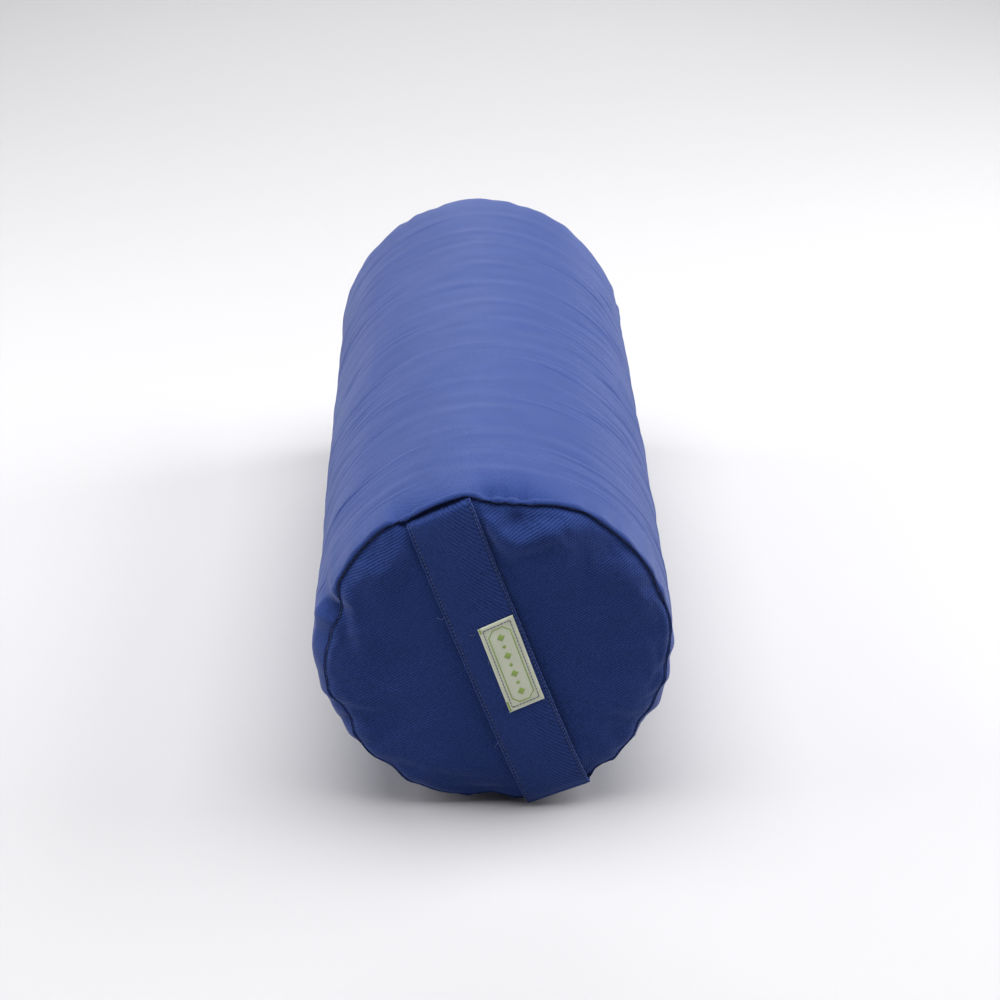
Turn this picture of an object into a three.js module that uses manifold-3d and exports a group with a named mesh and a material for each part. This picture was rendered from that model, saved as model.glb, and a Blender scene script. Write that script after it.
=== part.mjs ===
// Round bolster pillow: a zipped twill cover with a carry handle on its front end, a cotton liner
// and a rolled cotton batt. Millimetres, +Z up. The roll's axis lies along Y and the handle faces -Y.
import * as THREE from 'three';
import { mergeVertices } from 'three/addons/utils/BufferGeometryUtils.js';
import Module from 'manifold-3d';

const wasm = await Module();
wasm.setup();

// Driving dimensions
const LENGTH = 660;            // over the rolled lips of both ends
const RADIUS = 127;            // 10 in across
const WIDTH_FACTOR = 1.015;    // the roll spreads a little sideways under its own weight
const AXIS_HEIGHT = 125;       // the underside settles flat this far below the axis
const SECTION_SIDES = 48;
const CLOTH = 1.0;             // cover twill with its finish
const LINER_CLOTH = 0.6;
const GAP = 0.4;               // air between nested layers

// End seams: depths are measured inward from the lip plane, negative ones stand in front of it
const SEAM_RADIUS = 116.9;
const LIP_RADIUS = 120.5;
const SEAM_ALLOWANCE_DEPTH = 12;

// Carry handle, in a frame of its own: t runs down the strap, w across it, heights stand off the lip plane
const HANDLE_TILT = THREE.MathUtils.degToRad(-20.8);
const HANDLE_CENTRE_X = 3.3;
const HANDLE_HALF_LENGTH = 111;
const HANDLE_HALF_WIDTH = 24.5;
const HANDLE_THICKNESS = 2.4;
const HANDLE_END_HEIGHT = -1.8;
const HANDLE_CREST_HEIGHT = 12;
const HANDLE_CREST = 45;
const HANDLE_FULLNESS = 0.7;
const GRIP_START = -42;
const GRIP_END = 56;
const JOIN_GAP = 0.3;
const THREAD = 0.6;
const THREAD_INSET = 2.0;
const LABEL = { top: -29, bottom: 39.5, left: -7.5, right: 19.5, thickness: 0.5, threadInset: 3 };

// Zipper in the long seam, below the widest line of the +X side
const FACET = (2 * Math.PI) / SECTION_SIDES;
const ZIP_ANGLE = -4.5 * FACET;
const SLOT_LENGTH = 500;
const SLOT_WIDTH = 7.4;
const TAPE = { top: 1.4, bottom: 1.9, inner: 0.8, outer: 14, length: 524 };
const COIL = { top: -0.9, bottom: 1.1, inner: 0.8, outer: 3.0, front: -246, rear: 243 };
const STOP = { length: 3.3, top: 1.0, bottom: -1.0, inner: 0.6, outer: 3.2 };
const SLIDER = { length: 12, halfWidth: 4.8, noseHalfWidth: 3.4, plate: 1.2, roof: 1.3, floor: -2.25, base: 0.8 };
const BRIDGE = { halfLength: 3.2, halfWidth: 0.8, bar: 1.0, opening: 1.7 };
const PULL = { length: 22, halfWidth: 2.7, thickness: 1.0, window: 1.5, windowEnd: 4.2, hole: 1.3 };

// Liner and filling
const INSERT_INSET = 3.4;      // liner outside below the cover outside: room for the slider's base plate
const LINER_SEAM = { radius: 98, depth: 5.1 };
const LINER_SHOULDER = 36;
const BATT = { turns: 5, sidesPerTurn: 24, pitch: 22, shoulder: 38, endDepth: 9, endScale: 0.81 };

const paint = {
  twill: () => new THREE.MeshStandardMaterial({ color: 0x54649f, roughness: 0.95, metalness: 0 }),
  twillShade: () => new THREE.MeshStandardMaterial({ color: 0x35457c, roughness: 0.95, metalness: 0 }),
  thread: () => new THREE.MeshStandardMaterial({ color: 0x3f4f8c, roughness: 0.7, metalness: 0 }),
  label: () => new THREE.MeshStandardMaterial({ color: 0xd9d8c0, roughness: 0.9, metalness: 0 }),
  labelThread: () => new THREE.MeshStandardMaterial({ color: 0x2c3a70, roughness: 0.7, metalness: 0 }),
  tape: () => new THREE.MeshStandardMaterial({ color: 0x2b3a6e, roughness: 0.9, metalness: 0 }),
  coil: () => new THREE.MeshStandardMaterial({ color: 0x2f3f78, roughness: 0.45, metalness: 0 }),
  metal: () => new THREE.MeshStandardMaterial({ color: 0xb9bbbe, roughness: 0.35, metalness: 1 }),
  liner: () => new THREE.MeshStandardMaterial({ color: 0xe6dfcc, roughness: 0.95, metalness: 0 }),
  batt: () => new THREE.MeshStandardMaterial({ color: 0xf0ebdc, roughness: 1, metalness: 0 }),
};

// Everything is built round the roll's axis, in a group raised so that the underside is at Z = 0
const bolster = new THREE.Group();
const roll = new THREE.Group();
roll.position.z = AXIS_HEIGHT;
bolster.add(roll);

function addPart(parent, name, geometry, material) {
  const mesh = new THREE.Mesh(geometry, material);
  mesh.name = name;
  parent.add(mesh);
  return mesh;
}

// ---- booleans -------------------------------------------------------------------------------

function toManifold(geometry) {
  const bare = geometry.index ? geometry.clone() : geometry;
  bare.deleteAttribute('normal');
  bare.deleteAttribute('uv');
  const merged = mergeVertices(bare, 1e-4);
  return new wasm.Manifold(new wasm.Mesh({
    numProp: 3,
    vertProperties: new Float32Array(merged.attributes.position.array),
    triVerts: new Uint32Array(merged.index.array),
  }));
}

function toGeometry(manifold) {
  const mesh = manifold.getMesh();
  const geometry = new THREE.BufferGeometry();
  geometry.setAttribute('position', new THREE.BufferAttribute(mesh.vertProperties, 3));
  geometry.setIndex(new THREE.BufferAttribute(mesh.triVerts, 1));
  geometry.computeVertexNormals();
  return geometry;
}

const join = (...geometries) => toGeometry(geometries.map(toManifold).reduce((sum, next) => sum.add(next)));
const cut = (geometry, tool) => toGeometry(toManifold(geometry).subtract(toManifold(tool)));

function box([x0, x1], [y0, y1], [z0, z1]) {
  const geometry = new THREE.BoxGeometry(x1 - x0, y1 - y0, z1 - z0);
  geometry.translate((x0 + x1) / 2, (y0 + y1) / 2, (z0 + z1) / 2);
  return geometry;
}

// ---- the roll's cross-section ---------------------------------------------------------------

// A point of a layer: the circle of this radius, spread sideways and settled flat on its underside
function settle(radius, angle, inset) {
  const floor = inset - AXIS_HEIGHT;
  return new THREE.Vector2(WIDTH_FACTOR * radius * Math.cos(angle), Math.max(radius * Math.sin(angle), floor));
}

const sectionCorner = (index, inset) => settle(RADIUS - inset, index * FACET, inset);

// A point on the faceted section, so that thin strips lie parallel to the wall that they sit in
function sectionPoint(angle, inset) {
  const index = Math.floor(angle / FACET + 1e-9);
  return sectionCorner(index, inset).lerp(sectionCorner(index + 1, inset), angle / FACET - index);
}

// A solid of revolution about Y from rings [radius, y, inset], settled like every layer
function revolve(rings, sides = SECTION_SIDES) {
  const geometry = new THREE.LatheGeometry(rings.map(([radius, y]) => new THREE.Vector2(radius, y)), sides);
  const position = geometry.attributes.position;
  for (let i = 0; i < position.count; i += 1) {
    const [radius, , inset] = rings[i % rings.length];
    const angle = Math.PI / 2 - Math.floor(i / rings.length) * ((2 * Math.PI) / sides);
    const point = settle(radius, angle, inset);
    position.setX(i, point.x);
    position.setZ(i, point.y);
  }
  return geometry;
}

// Mirrors a front-end path of [radius, depth] to the rear end and gives rings in Y order
function bothEnds(path, inset) {
  const front = path.map(([radius, depth]) => [radius, depth - LENGTH / 2, inset]);
  const rear = path.map(([radius, depth]) => [radius, LENGTH / 2 - depth, inset]);
  return [...front, ...rear.reverse()];
}

// A closed ring of cloth from its outside path and its inside path
function shell(outside, outsideInset, inside, insideInset) {
  const outer = bothEnds(outside, outsideInset);
  const inner = bothEnds(inside, insideInset).reverse();
  return revolve([...outer, ...inner, outer[0]]);
}

// An end panel of [radius, depth] rings, front face first, placed at the front or turned to the rear
function endPanel(face, back, isRear) {
  const rings = [...face, ...back].map(([radius, depth]) => [radius, depth - LENGTH / 2, 0]);
  const placed = isRear ? rings.map(([radius, y]) => [radius, -y, 0]).reverse() : rings;
  return revolve(placed);
}

// ---- cover ----------------------------------------------------------------------------------

function coverSidePanel() {
  const outside = [
    [SEAM_RADIUS, SEAM_ALLOWANCE_DEPTH],
    [SEAM_RADIUS, 6],
    [SEAM_RADIUS + 0.9, 1.8],
    [LIP_RADIUS, 0],
    [124.2, 2.6],
    [126.3, 7.5],
    [RADIUS, 14],
  ];
  const inside = [
    [SEAM_RADIUS + CLOTH, SEAM_ALLOWANCE_DEPTH],
    [SEAM_RADIUS + CLOTH, 6.4],
    [SEAM_RADIUS + 1.7, 3],
    [LIP_RADIUS, 1.7],
    [123.4, 4],
    [125.3, 8],
    [RADIUS - CLOTH, 14],
  ];
  const slot = box([-4, 4], [-SLOT_LENGTH / 2, SLOT_LENGTH / 2], [-SLOT_WIDTH / 2, SLOT_WIDTH / 2]);
  return cut(shell(outside, 0, inside, CLOTH), slot.applyMatrix4(zipFrame(0)));
}

function coverEndPanel(isRear) {
  const edge = SEAM_RADIUS - GAP;
  const face = [[0, -3], [80, -1.3], [108, 1.8], [edge, 6.3], [edge, SEAM_ALLOWANCE_DEPTH]];
  const back = [
    [edge - CLOTH, SEAM_ALLOWANCE_DEPTH],
    [edge - CLOTH, 6.9],
    [107.6, 1.8 + CLOTH],
    [80, CLOTH - 1.3],
    [0, CLOTH - 3],
  ];
  return endPanel(face, back, isRear);
}

function seamThread(isRear) {
  const [inner, outer] = [SEAM_RADIUS - 1, SEAM_RADIUS + 0.6];
  const [near, far] = [SEAM_ALLOWANCE_DEPTH + 0.3, SEAM_ALLOWANCE_DEPTH + 0.9];
  const side = isRear ? -1 : 1;
  const ring = [[inner, near], [outer, near], [outer, far], [inner, far], [inner, near]];
  const placed = ring.map(([radius, depth]) => [radius, side * (depth - LENGTH / 2), 0]);
  return revolve(isRear ? placed.reverse() : placed, SECTION_SIDES / 2);
}

function addCover() {
  addPart(roll, 'cover_side_panel', coverSidePanel(), paint.twill());
  addPart(roll, 'cover_front_panel', coverEndPanel(false), paint.twillShade());
  addPart(roll, 'cover_rear_panel', coverEndPanel(true), paint.twillShade());
  addPart(roll, 'seam_thread_front', seamThread(false), paint.thread());
  addPart(roll, 'seam_thread_rear', seamThread(true), paint.thread());
}

// ---- carry handle ---------------------------------------------------------------------------

// Height of the strap's underside over the lip plane: it springs from both ends to a low crest
function archHeight(t) {
  const reach = t < HANDLE_CREST
    ? (t + HANDLE_HALF_LENGTH) / (HANDLE_CREST + HANDLE_HALF_LENGTH)
    : (HANDLE_HALF_LENGTH - t) / (HANDLE_HALF_LENGTH - HANDLE_CREST);
  const rise = Math.sin(THREE.MathUtils.clamp(reach, 0, 1) * (Math.PI / 2)) ** HANDLE_FULLNESS;
  return THREE.MathUtils.lerp(HANDLE_END_HEIGHT, HANDLE_CREST_HEIGHT, rise);
}

// A block that follows the arch from t0 to t1, from w0 to w1 across, between two heights over the underside
function strapBlock([t0, t1], [w0, w1], [low, high]) {
  const steps = Math.max(2, Math.round((t1 - t0) / 9));
  const stations = Array.from({ length: steps + 1 }, (_, i) => THREE.MathUtils.lerp(t0, t1, i / steps));
  const under = stations.map((t) => new THREE.Vector2(archHeight(t) + low, -t));
  const over = stations.map((t) => new THREE.Vector2(archHeight(t) + high, -t)).reverse();
  const geometry = new THREE.ExtrudeGeometry(new THREE.Shape([...under, ...over]), {
    depth: w1 - w0,
    bevelEnabled: false,
  });
  const turn = new THREE.Matrix4().makeBasis(
    new THREE.Vector3(0, -1, 0),
    new THREE.Vector3(0, 0, 1),
    new THREE.Vector3(-1, 0, 0),
  );
  return geometry.applyMatrix4(turn).translate(w1, 0, 0);
}

function addStrapPiece(frame, name, span) {
  const reach = HANDLE_HALF_WIDTH - THREAD_INSET;
  const threadHeights = [HANDLE_THICKNESS + JOIN_GAP, HANDLE_THICKNESS + JOIN_GAP + THREAD];
  const strap = strapBlock(span, [-HANDLE_HALF_WIDTH, HANDLE_HALF_WIDTH], [0, HANDLE_THICKNESS]);
  addPart(frame, name, strap, paint.twillShade());
  const leftRow = strapBlock(span, [-reach - THREAD / 2, -reach + THREAD / 2], threadHeights);
  addPart(frame, `${name}_thread_left`, leftRow, paint.thread());
  const rightRow = strapBlock(span, [reach - THREAD / 2, reach + THREAD / 2], threadHeights);
  addPart(frame, `${name}_thread_right`, rightRow, paint.thread());
}

function labelRing(inset, heights) {
  return strapBlock(
    [LABEL.top + inset, LABEL.bottom - inset],
    [LABEL.left + inset, LABEL.right - inset],
    heights,
  );
}

function addHandle() {
  const frame = new THREE.Group();
  frame.position.set(HANDLE_CENTRE_X, -LENGTH / 2, 0);
  frame.rotation.y = HANDLE_TILT;
  roll.add(frame);
  addStrapPiece(frame, 'handle_upper_tail', [-HANDLE_HALF_LENGTH, GRIP_START - JOIN_GAP / 2]);
  addStrapPiece(frame, 'handle_grip', [GRIP_START + JOIN_GAP / 2, GRIP_END - JOIN_GAP / 2]);
  addStrapPiece(frame, 'handle_lower_tail', [GRIP_END + JOIN_GAP / 2, HANDLE_HALF_LENGTH]);

  const labelLow = HANDLE_THICKNESS + JOIN_GAP;
  const labelHigh = labelLow + LABEL.thickness;
  addPart(frame, 'label', labelRing(0, [labelLow, labelHigh]), paint.label());
  const threadLow = labelHigh + JOIN_GAP;
  const outline = labelRing(LABEL.threadInset, [threadLow, threadLow + THREAD]);
  const inside = labelRing(LABEL.threadInset + THREAD, [threadLow - 1, threadLow + 2]);
  addPart(frame, 'label_thread', cut(outline, inside), paint.labelThread());
}

// ---- zipper ---------------------------------------------------------------------------------

// Frame on the zipper's facet: X outward, Y along the roll, Z across the zipper
function zipFrame(y) {
  const middle = sectionPoint(ZIP_ANGLE, 0);
  const index = Math.floor(ZIP_ANGLE / FACET);
  const along = sectionCorner(index + 1, 0).sub(sectionCorner(index, 0)).normalize();
  const turn = Math.atan2(along.x, along.y);
  return new THREE.Matrix4().makeRotationY(turn).setPosition(middle.x, y, middle.y);
}

// A strip beside the zipper's centre line, running along the roll between two insets
function zipStrip(side, { top, bottom, inner, outer }, [y0, y1]) {
  const [from, to] = [inner, outer].map((distance) => ZIP_ANGLE + (side * distance) / RADIUS);
  const [low, high] = [Math.min(from, to), Math.max(from, to)];
  const angles = [low];
  for (let index = Math.ceil(low / FACET); index * FACET < high; index += 1) {
    angles.push(index * FACET);
  }
  angles.push(high);
  const outline = [
    ...angles.map((angle) => sectionPoint(angle, top)),
    ...angles.reverse().map((angle) => sectionPoint(angle, bottom)),
  ];
  const geometry = new THREE.ExtrudeGeometry(new THREE.Shape(outline), { depth: y1 - y0, bevelEnabled: false });
  return geometry.rotateX(Math.PI / 2).translate(0, y1, 0);
}

// Slider plate in the zipper's frame: wide at the rear, tapered to the nose
function sliderPlate([low, high]) {
  const { length, halfWidth, noseHalfWidth } = SLIDER;
  const outline = new THREE.Shape([
    new THREE.Vector2(-noseHalfWidth, -length / 2),
    new THREE.Vector2(noseHalfWidth, -length / 2),
    new THREE.Vector2(halfWidth, -length / 6),
    new THREE.Vector2(halfWidth, length / 2),
    new THREE.Vector2(-halfWidth, length / 2),
    new THREE.Vector2(-halfWidth, -length / 6),
  ]);
  const geometry = new THREE.ExtrudeGeometry(outline, { depth: high - low, bevelEnabled: false });
  return geometry.rotateY(Math.PI / 2).translate(low, 0, 0);
}

function slider() {
  const { length, halfWidth, plate, roof, floor, base } = SLIDER;
  const top = roof + plate;
  const flange = 0.9;
  const flangeLow = 0.4;
  const post = 0.5;
  const flangeSpan = [-length / 6 + 0.2, length / 2 - 0.2];
  const legTop = top + BRIDGE.opening + BRIDGE.bar;
  const legWidth = [-BRIDGE.halfWidth, BRIDGE.halfWidth];
  return join(
    sliderPlate([roof, top]),
    sliderPlate([floor - base, floor]),
    box([floor - 0.1, roof + 0.1], [-length / 2 + 0.5, -length / 2 + 3.5], [-post, post]),
    box([flangeLow, roof + 0.1], flangeSpan, [halfWidth - flange, halfWidth - 0.05]),
    box([flangeLow, roof + 0.1], flangeSpan, [0.05 - halfWidth, flange - halfWidth]),
    box([top - 0.1, legTop], [-BRIDGE.halfLength, BRIDGE.bar - BRIDGE.halfLength], legWidth),
    box([top - 0.1, legTop], [BRIDGE.halfLength - BRIDGE.bar, BRIDGE.halfLength], legWidth),
    box([legTop - BRIDGE.bar, legTop], [-BRIDGE.halfLength, BRIDGE.halfLength], legWidth),
  );
}

// Pull tab lying flat towards -Y, its cross-bar through the slider's bridge
function pullTab() {
  const half = PULL.thickness / 2;
  const { length, halfWidth, window, windowEnd, hole } = PULL;
  const outline = new THREE.Shape();
  outline.moveTo(-halfWidth, half);
  outline.lineTo(-halfWidth, halfWidth - length);
  outline.absarc(0, halfWidth - length, halfWidth, Math.PI, 2 * Math.PI, false);
  outline.lineTo(halfWidth, half);
  outline.closePath();
  const eye = [[-window, -half], [-window, -windowEnd], [window, -windowEnd], [window, -half]];
  outline.holes.push(new THREE.Path(eye.map(([x, y]) => new THREE.Vector2(x, y))));
  outline.holes.push(new THREE.Path().absarc(0, halfWidth + 0.6 - length, hole, 0, 2 * Math.PI, true));
  const geometry = new THREE.ExtrudeGeometry(outline, {
    depth: PULL.thickness,
    bevelEnabled: false,
    curveSegments: 8,
  });
  return geometry.rotateY(Math.PI / 2).translate(-half, 0, 0);
}

function stop([z0, z1], [y0, y1]) {
  return box([STOP.bottom, STOP.top], [y0, y1], [z0, z1]);
}

function addZipper() {
  const tapeSpan = [-TAPE.length / 2, TAPE.length / 2];
  const coilSpan = [COIL.front, COIL.rear];
  for (const [side, word] of [[1, 'upper'], [-1, 'lower']]) {
    addPart(roll, `zipper_tape_${word}`, zipStrip(side, TAPE, tapeSpan), paint.tape());
    addPart(roll, `zipper_coil_${word}`, zipStrip(side, COIL, coilSpan), paint.coil());
  }

  const fixed = new THREE.Group();
  fixed.applyMatrix4(zipFrame(0));
  roll.add(fixed);
  const topSpan = [COIL.front - 0.3 - STOP.length, COIL.front - 0.3];
  const bottomSpan = [COIL.rear + 0.3, COIL.rear + 0.3 + STOP.length];
  addPart(fixed, 'zipper_top_stop_upper', stop([STOP.inner, STOP.outer], topSpan), paint.metal());
  addPart(fixed, 'zipper_top_stop_lower', stop([-STOP.outer, -STOP.inner], topSpan), paint.metal());
  addPart(fixed, 'zipper_bottom_stop', stop([-STOP.outer, STOP.outer], bottomSpan), paint.metal());

  const sliderFrame = new THREE.Group();
  sliderFrame.applyMatrix4(zipFrame(COIL.front + 0.5 + SLIDER.length / 2));
  roll.add(sliderFrame);
  addPart(sliderFrame, 'zipper_slider', slider(), paint.metal());
  const pull = addPart(sliderFrame, 'zipper_pull', pullTab(), paint.metal());
  pull.position.x = SLIDER.roof + SLIDER.plate + BRIDGE.opening / 2;
}

// ---- liner and filling ----------------------------------------------------------------------

function linerSidePanel() {
  const middle = Math.SQRT1_2;
  const quarter = (offset) => {
    const across = RADIUS - INSERT_INSET - LINER_SEAM.radius - offset;
    const deep = LINER_SHOULDER - LINER_SEAM.depth - offset;
    return [[0, 1], [middle, middle], [1, 0]].map(([out, forward]) => [
      LINER_SEAM.radius + across * out,
      LINER_SHOULDER - deep * forward,
    ]);
  };
  return shell(quarter(0), INSERT_INSET, quarter(LINER_CLOTH), INSERT_INSET + LINER_CLOTH);
}

function linerEndPanel(isRear) {
  const edge = LINER_SEAM.radius - 0.6;
  const depth = LINER_SEAM.depth;
  const face = [[0, -1.4], [80, 0.4], [edge, depth]];
  const back = [[edge - 0.4, depth + 0.8], [80, 0.4 + LINER_CLOTH], [0, LINER_CLOTH - 1.4]];
  return endPanel(face, back, isRear);
}

// One long batt wound into a roll: the outer end is feathered round the last turn
function battRoll() {
  const inset = INSERT_INSET + LINER_CLOTH + GAP;
  const { turns, sidesPerTurn, pitch, shoulder, endDepth, endScale } = BATT;
  const outer = RADIUS - inset;
  const step = (2 * Math.PI) / sidesPerTurn;
  const edge = (k, loss) => settle(outer - (pitch * loss) / sidesPerTurn, (k - 0.5) * step, inset);
  const outside = [];
  const inside = [];
  for (let k = 1; k <= turns * sidesPerTurn; k += 1) {
    outside.push(edge(k, Math.max(0, k - sidesPerTurn)));
    inside.push(edge(k, k + (GAP * sidesPerTurn) / pitch));
  }
  const outline = [...outside, ...inside.reverse()];
  const geometry = new THREE.ExtrudeGeometry(new THREE.Shape(outline), {
    depth: 3,
    steps: 3,
    bevelEnabled: false,
  });
  const stations = [LENGTH / 2 - endDepth, LENGTH / 2 - shoulder, shoulder - LENGTH / 2, endDepth - LENGTH / 2];
  geometry.rotateX(Math.PI / 2);
  const position = geometry.attributes.position;
  for (let i = 0; i < position.count; i += 1) {
    const station = Math.round(-position.getY(i));
    const scale = station === 0 || station === 3 ? endScale : 1;
    position.setXYZ(i, position.getX(i) * scale, stations[station], position.getZ(i) * scale);
  }
  return geometry;
}

function addInsert() {
  addPart(roll, 'liner_side_panel', linerSidePanel(), paint.liner());
  addPart(roll, 'liner_front_panel', linerEndPanel(false), paint.liner());
  addPart(roll, 'liner_rear_panel', linerEndPanel(true), paint.liner());
  addPart(roll, 'batting_roll', battRoll(), paint.batt());
}

// ---- assembly -------------------------------------------------------------------------------

addCover();
addHandle();
addZipper();
addInsert();

// The handle stands proud of one end, so the roll is moved to centre the whole outline in Y
bolster.updateMatrixWorld(true);
const extent = new THREE.Box3().setFromObject(bolster, true);
bolster.position.y = -(extent.min.y + extent.max.y) / 2;

export default bolster;
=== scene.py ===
"""Looks of a round bolster pillow: zipped twill cover, carry handle with its label, liner and rolled batt.

Metres, in the frame of the CAD model: +Y runs along the roll, away from the handle, and +Z is up.
"""
import math

import bmesh
import bpy
import numpy as np
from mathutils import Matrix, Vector


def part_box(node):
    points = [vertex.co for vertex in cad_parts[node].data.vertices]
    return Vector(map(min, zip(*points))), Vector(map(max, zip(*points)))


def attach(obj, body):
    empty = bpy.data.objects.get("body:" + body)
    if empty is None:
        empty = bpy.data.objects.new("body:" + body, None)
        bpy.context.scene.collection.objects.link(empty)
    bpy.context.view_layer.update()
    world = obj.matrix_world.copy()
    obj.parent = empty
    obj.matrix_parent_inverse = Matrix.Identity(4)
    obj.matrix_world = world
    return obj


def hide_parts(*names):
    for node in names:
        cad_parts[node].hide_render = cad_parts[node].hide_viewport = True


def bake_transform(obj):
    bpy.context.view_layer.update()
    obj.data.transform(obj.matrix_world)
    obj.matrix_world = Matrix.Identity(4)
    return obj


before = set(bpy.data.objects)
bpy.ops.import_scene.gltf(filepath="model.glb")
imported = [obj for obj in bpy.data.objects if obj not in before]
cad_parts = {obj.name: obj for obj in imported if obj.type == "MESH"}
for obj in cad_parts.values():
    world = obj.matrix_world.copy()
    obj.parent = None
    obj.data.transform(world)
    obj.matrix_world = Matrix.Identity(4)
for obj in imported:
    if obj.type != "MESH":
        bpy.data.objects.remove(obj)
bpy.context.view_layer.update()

MM = 0.001
WEAVE = "weave"          # the UV map of every cloth piece, in metres along its threads

# ---- dimensions, from the frame where it gives them ---------------------------------------------

SIDE_LOW, SIDE_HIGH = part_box("cover_side_panel")
FRONT = SIDE_LOW.y       # lip plane of the handle end
REAR = SIDE_HIGH.y
LENGTH = REAR - FRONT
WIDTH_FACTOR = 1.015
RADIUS = SIDE_HIGH.x / WIDTH_FACTOR
AXIS_HEIGHT = SIDE_HIGH.z - RADIUS
SETTLE_SOFTNESS = 1.5 * MM

ALLOWANCE_DEPTH = 11 * MM  # how far the seam allowances reach into the cover
CLOTH = 1.0 * MM
LINER_CLOTH = 0.6 * MM
INSERT_INSET = 3.4 * MM

ZIP_ANGLE = math.radians(-33.75)
SLOT_HALF_WIDTH = 3.7 * MM
SLOT_HALF_LENGTH = 250 * MM
BODY_CENTRE = (FRONT + REAR) / 2

HANDLE_TILT = math.radians(20.8)
HANDLE_CENTRE_X = 3.3 * MM
HANDLE_THICKNESS = 2.4 * MM
HANDLE_HALF_WIDTH = 24.3 * MM
HANDLE_ENDS = (-121 * MM, 127.5 * MM)
HANDLE_BLENDS = ((-110 * MM, -46 * MM), (111 * MM, 60 * MM))
GRIP_ENDS = (-42 * MM, 56 * MM)
ARCH_FEET = (-117.5 * MM, 120 * MM)
ARCH_ENDS = (-0.6 * MM, 0.5 * MM)
FOOT_SKEW = 0.0625           # the seam crosses the strap's upper end this much off square
ARCH_CREST = 12 * MM
ARCH_CREST_AT = 45 * MM
ARCH_FULLNESS = 0.55
HANDLE_CURL_AT = 120.6 * MM  # past this the lower end turns back round the panel's edge, into the seam
HANDLE_CURL_RADIUS = 1.2 * MM
HANDLE_FOOT = (-80, -57)   # degrees of the seam that the lower end takes up
FOOT_ROOM = 3.0 * MM       # how far it spreads the lip there
JOINT_LAP = 0.6 * MM       # the strap's three stretches run this far into each other
STITCH_ROWS = (-21.9 * MM, 22.6 * MM)
STITCH_PITCH = 3.0 * MM
STITCHED = (-115 * MM, 117 * MM)

# Front seam: degrees from +X towards +Z and radius in millimetres, straight between the gathers that hold it
FRONT_SEAM = [
    (-171.5, 119.3), (-167, 119.3), (-163.6, 120.8), (-160.8, 116.8), (-156, 113.6), (-152, 113.8),
    (-147.7, 118), (-137, 120.6), (-130.5, 117.8), (-125.5, 118.2), (-121, 122), (-113, 120.4),
    (-106, 120.5), (-97, 117.5), (-90, 115.5), (-84, 119.6), (-79.9, 121.5), (-67.7, 119.4), (-56.4, 122.4),
    (-52.4, 119.7), (-47, 122.6), (-42, 121.2), (-35.5, 121.2), (-31.5, 118), (-27.5, 117.7),
    (-22.6, 119.5), (-17, 119.4), (-11, 122.4), (-6, 120.2), (0, 121.5), (8, 124.3), (15, 124.4),
    (23, 122.6), (28.5, 124.2), (40, 124.1), (49, 123.1), (60, 124.3), (69, 121), (80, 115.2), (92, 115.6),
    (98, 122.4), (121, 118.2), (126, 122.6), (154.5, 120.4), (157.5, 115), (161, 110.4), (166.7, 110.8),
    (170.6, 114.3), (175, 114.3), (180, 117),
]
# Gathers of the front seam: degrees, depth, half width, run along the roll and run over the end panel
FRONT_GATHERS = [
    (92, 2.4, 2.6, 11, 9), (86, 1.4, 2.2, 9, 8), (80.5, 2.6, 3.0, 11, 16), (60, 1.2, 4, 14, 10),
    (49, 1.0, 4, 12, 8), (38, 1.0, 5, 18, 8), (26, 1.8, 3.5, 18, 8), (17, 1.2, 4, 20, 8), (4, 1.4, 4, 22, 8),
    (-6.5, 4.4, 5, 22, 8), (-16, 1.8, 5, 24, 12), (-29.5, 5.0, 5, 20, 12), (-40, 1.4, 5, 24, 10),
    (-51.5, 4.8, 5, 20, 10),
    (-68, 1.2, 8, 20, 8), (-91, 5.0, 8, 22, 16), (-104, 1.6, 5, 20, 10), (-116, 1.8, 4, 20, 10),
    (-128, 1.6, 5, 18, 10), (-141, 1.2, 5, 20, 14), (-151.5, 5.4, 5, 20, 14), (-158.5, 4.8, 4, 20, 12),
    (-170, 1.8, 5, 26, 12), (174, 2.6, 5, 30, 14), (162, 7.0, 5, 30, 22), (148, 1.0, 4, 16, 10),
    (136, 0.8, 4, 14, 8), (122.5, 2.8, 2.6, 15, 12), (118, 1.4, 2.2, 10, 8), (99, 1.0, 3, 10, 6),
]
# Soft folds of the front panel: from x, z to x, z about its centre, height and half width, millimetres
FRONT_FOLDS = [
    (30, 64, 62, 58, 4.0, 25), (-74, 66, -56, 78, 2.0, 18),
    (-10, 106, 12, 88, 5.0, 9), (12, 88, 48, 99, 6.5, 9), (12, 108, 20, 101, -3.6, 6),
    (61, 106, 40, 70, 1.8, 11), (30, 104, 52, 84, 1.2, 5), (78, 70, 92, 52, 2.0, 15),
    (-106, 50, -98, 34, 3.0, 6), (-98, 34, -89, 2, 2.4, 8),
    (-108, 34, -104, 14, -3.4, 6), (-112, -6, -88, -18, 1.4, 6), (-110, -34, -78, -40, 1.8, 7),
    (-98, -58, -34, -80, 1.4, 6), (-82, -76, -6, -96, 1.4, 6), (-92, -66, -70, -48, 1.2, 5),
    (-22, -114, 4, -116, -4.2, 7), (-52, -104, -40, -84, 1.2, 6), (104, -48, 84, -36, 1.6, 8),
    (106, -30, 88, -24, 1.4, 6), (100, -20, 76, -22, 1.0, 10), (114, 4, 90, 2, 1.2, 7),
    (-60, 92, -78, 62, 1.2, 11), (-100, 74, -72, 58, 1.2, 8), (84, -76, 62, -56, 1.4, 8),
    (62, -92, 56, -74, 1.2, 6),
]
# Lengthwise press creases of the side panel: degrees, from and to behind the lip plane, millimetres
PRESS_CREASES = [(136, 180, 430), (57, 220, 440)]
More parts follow.
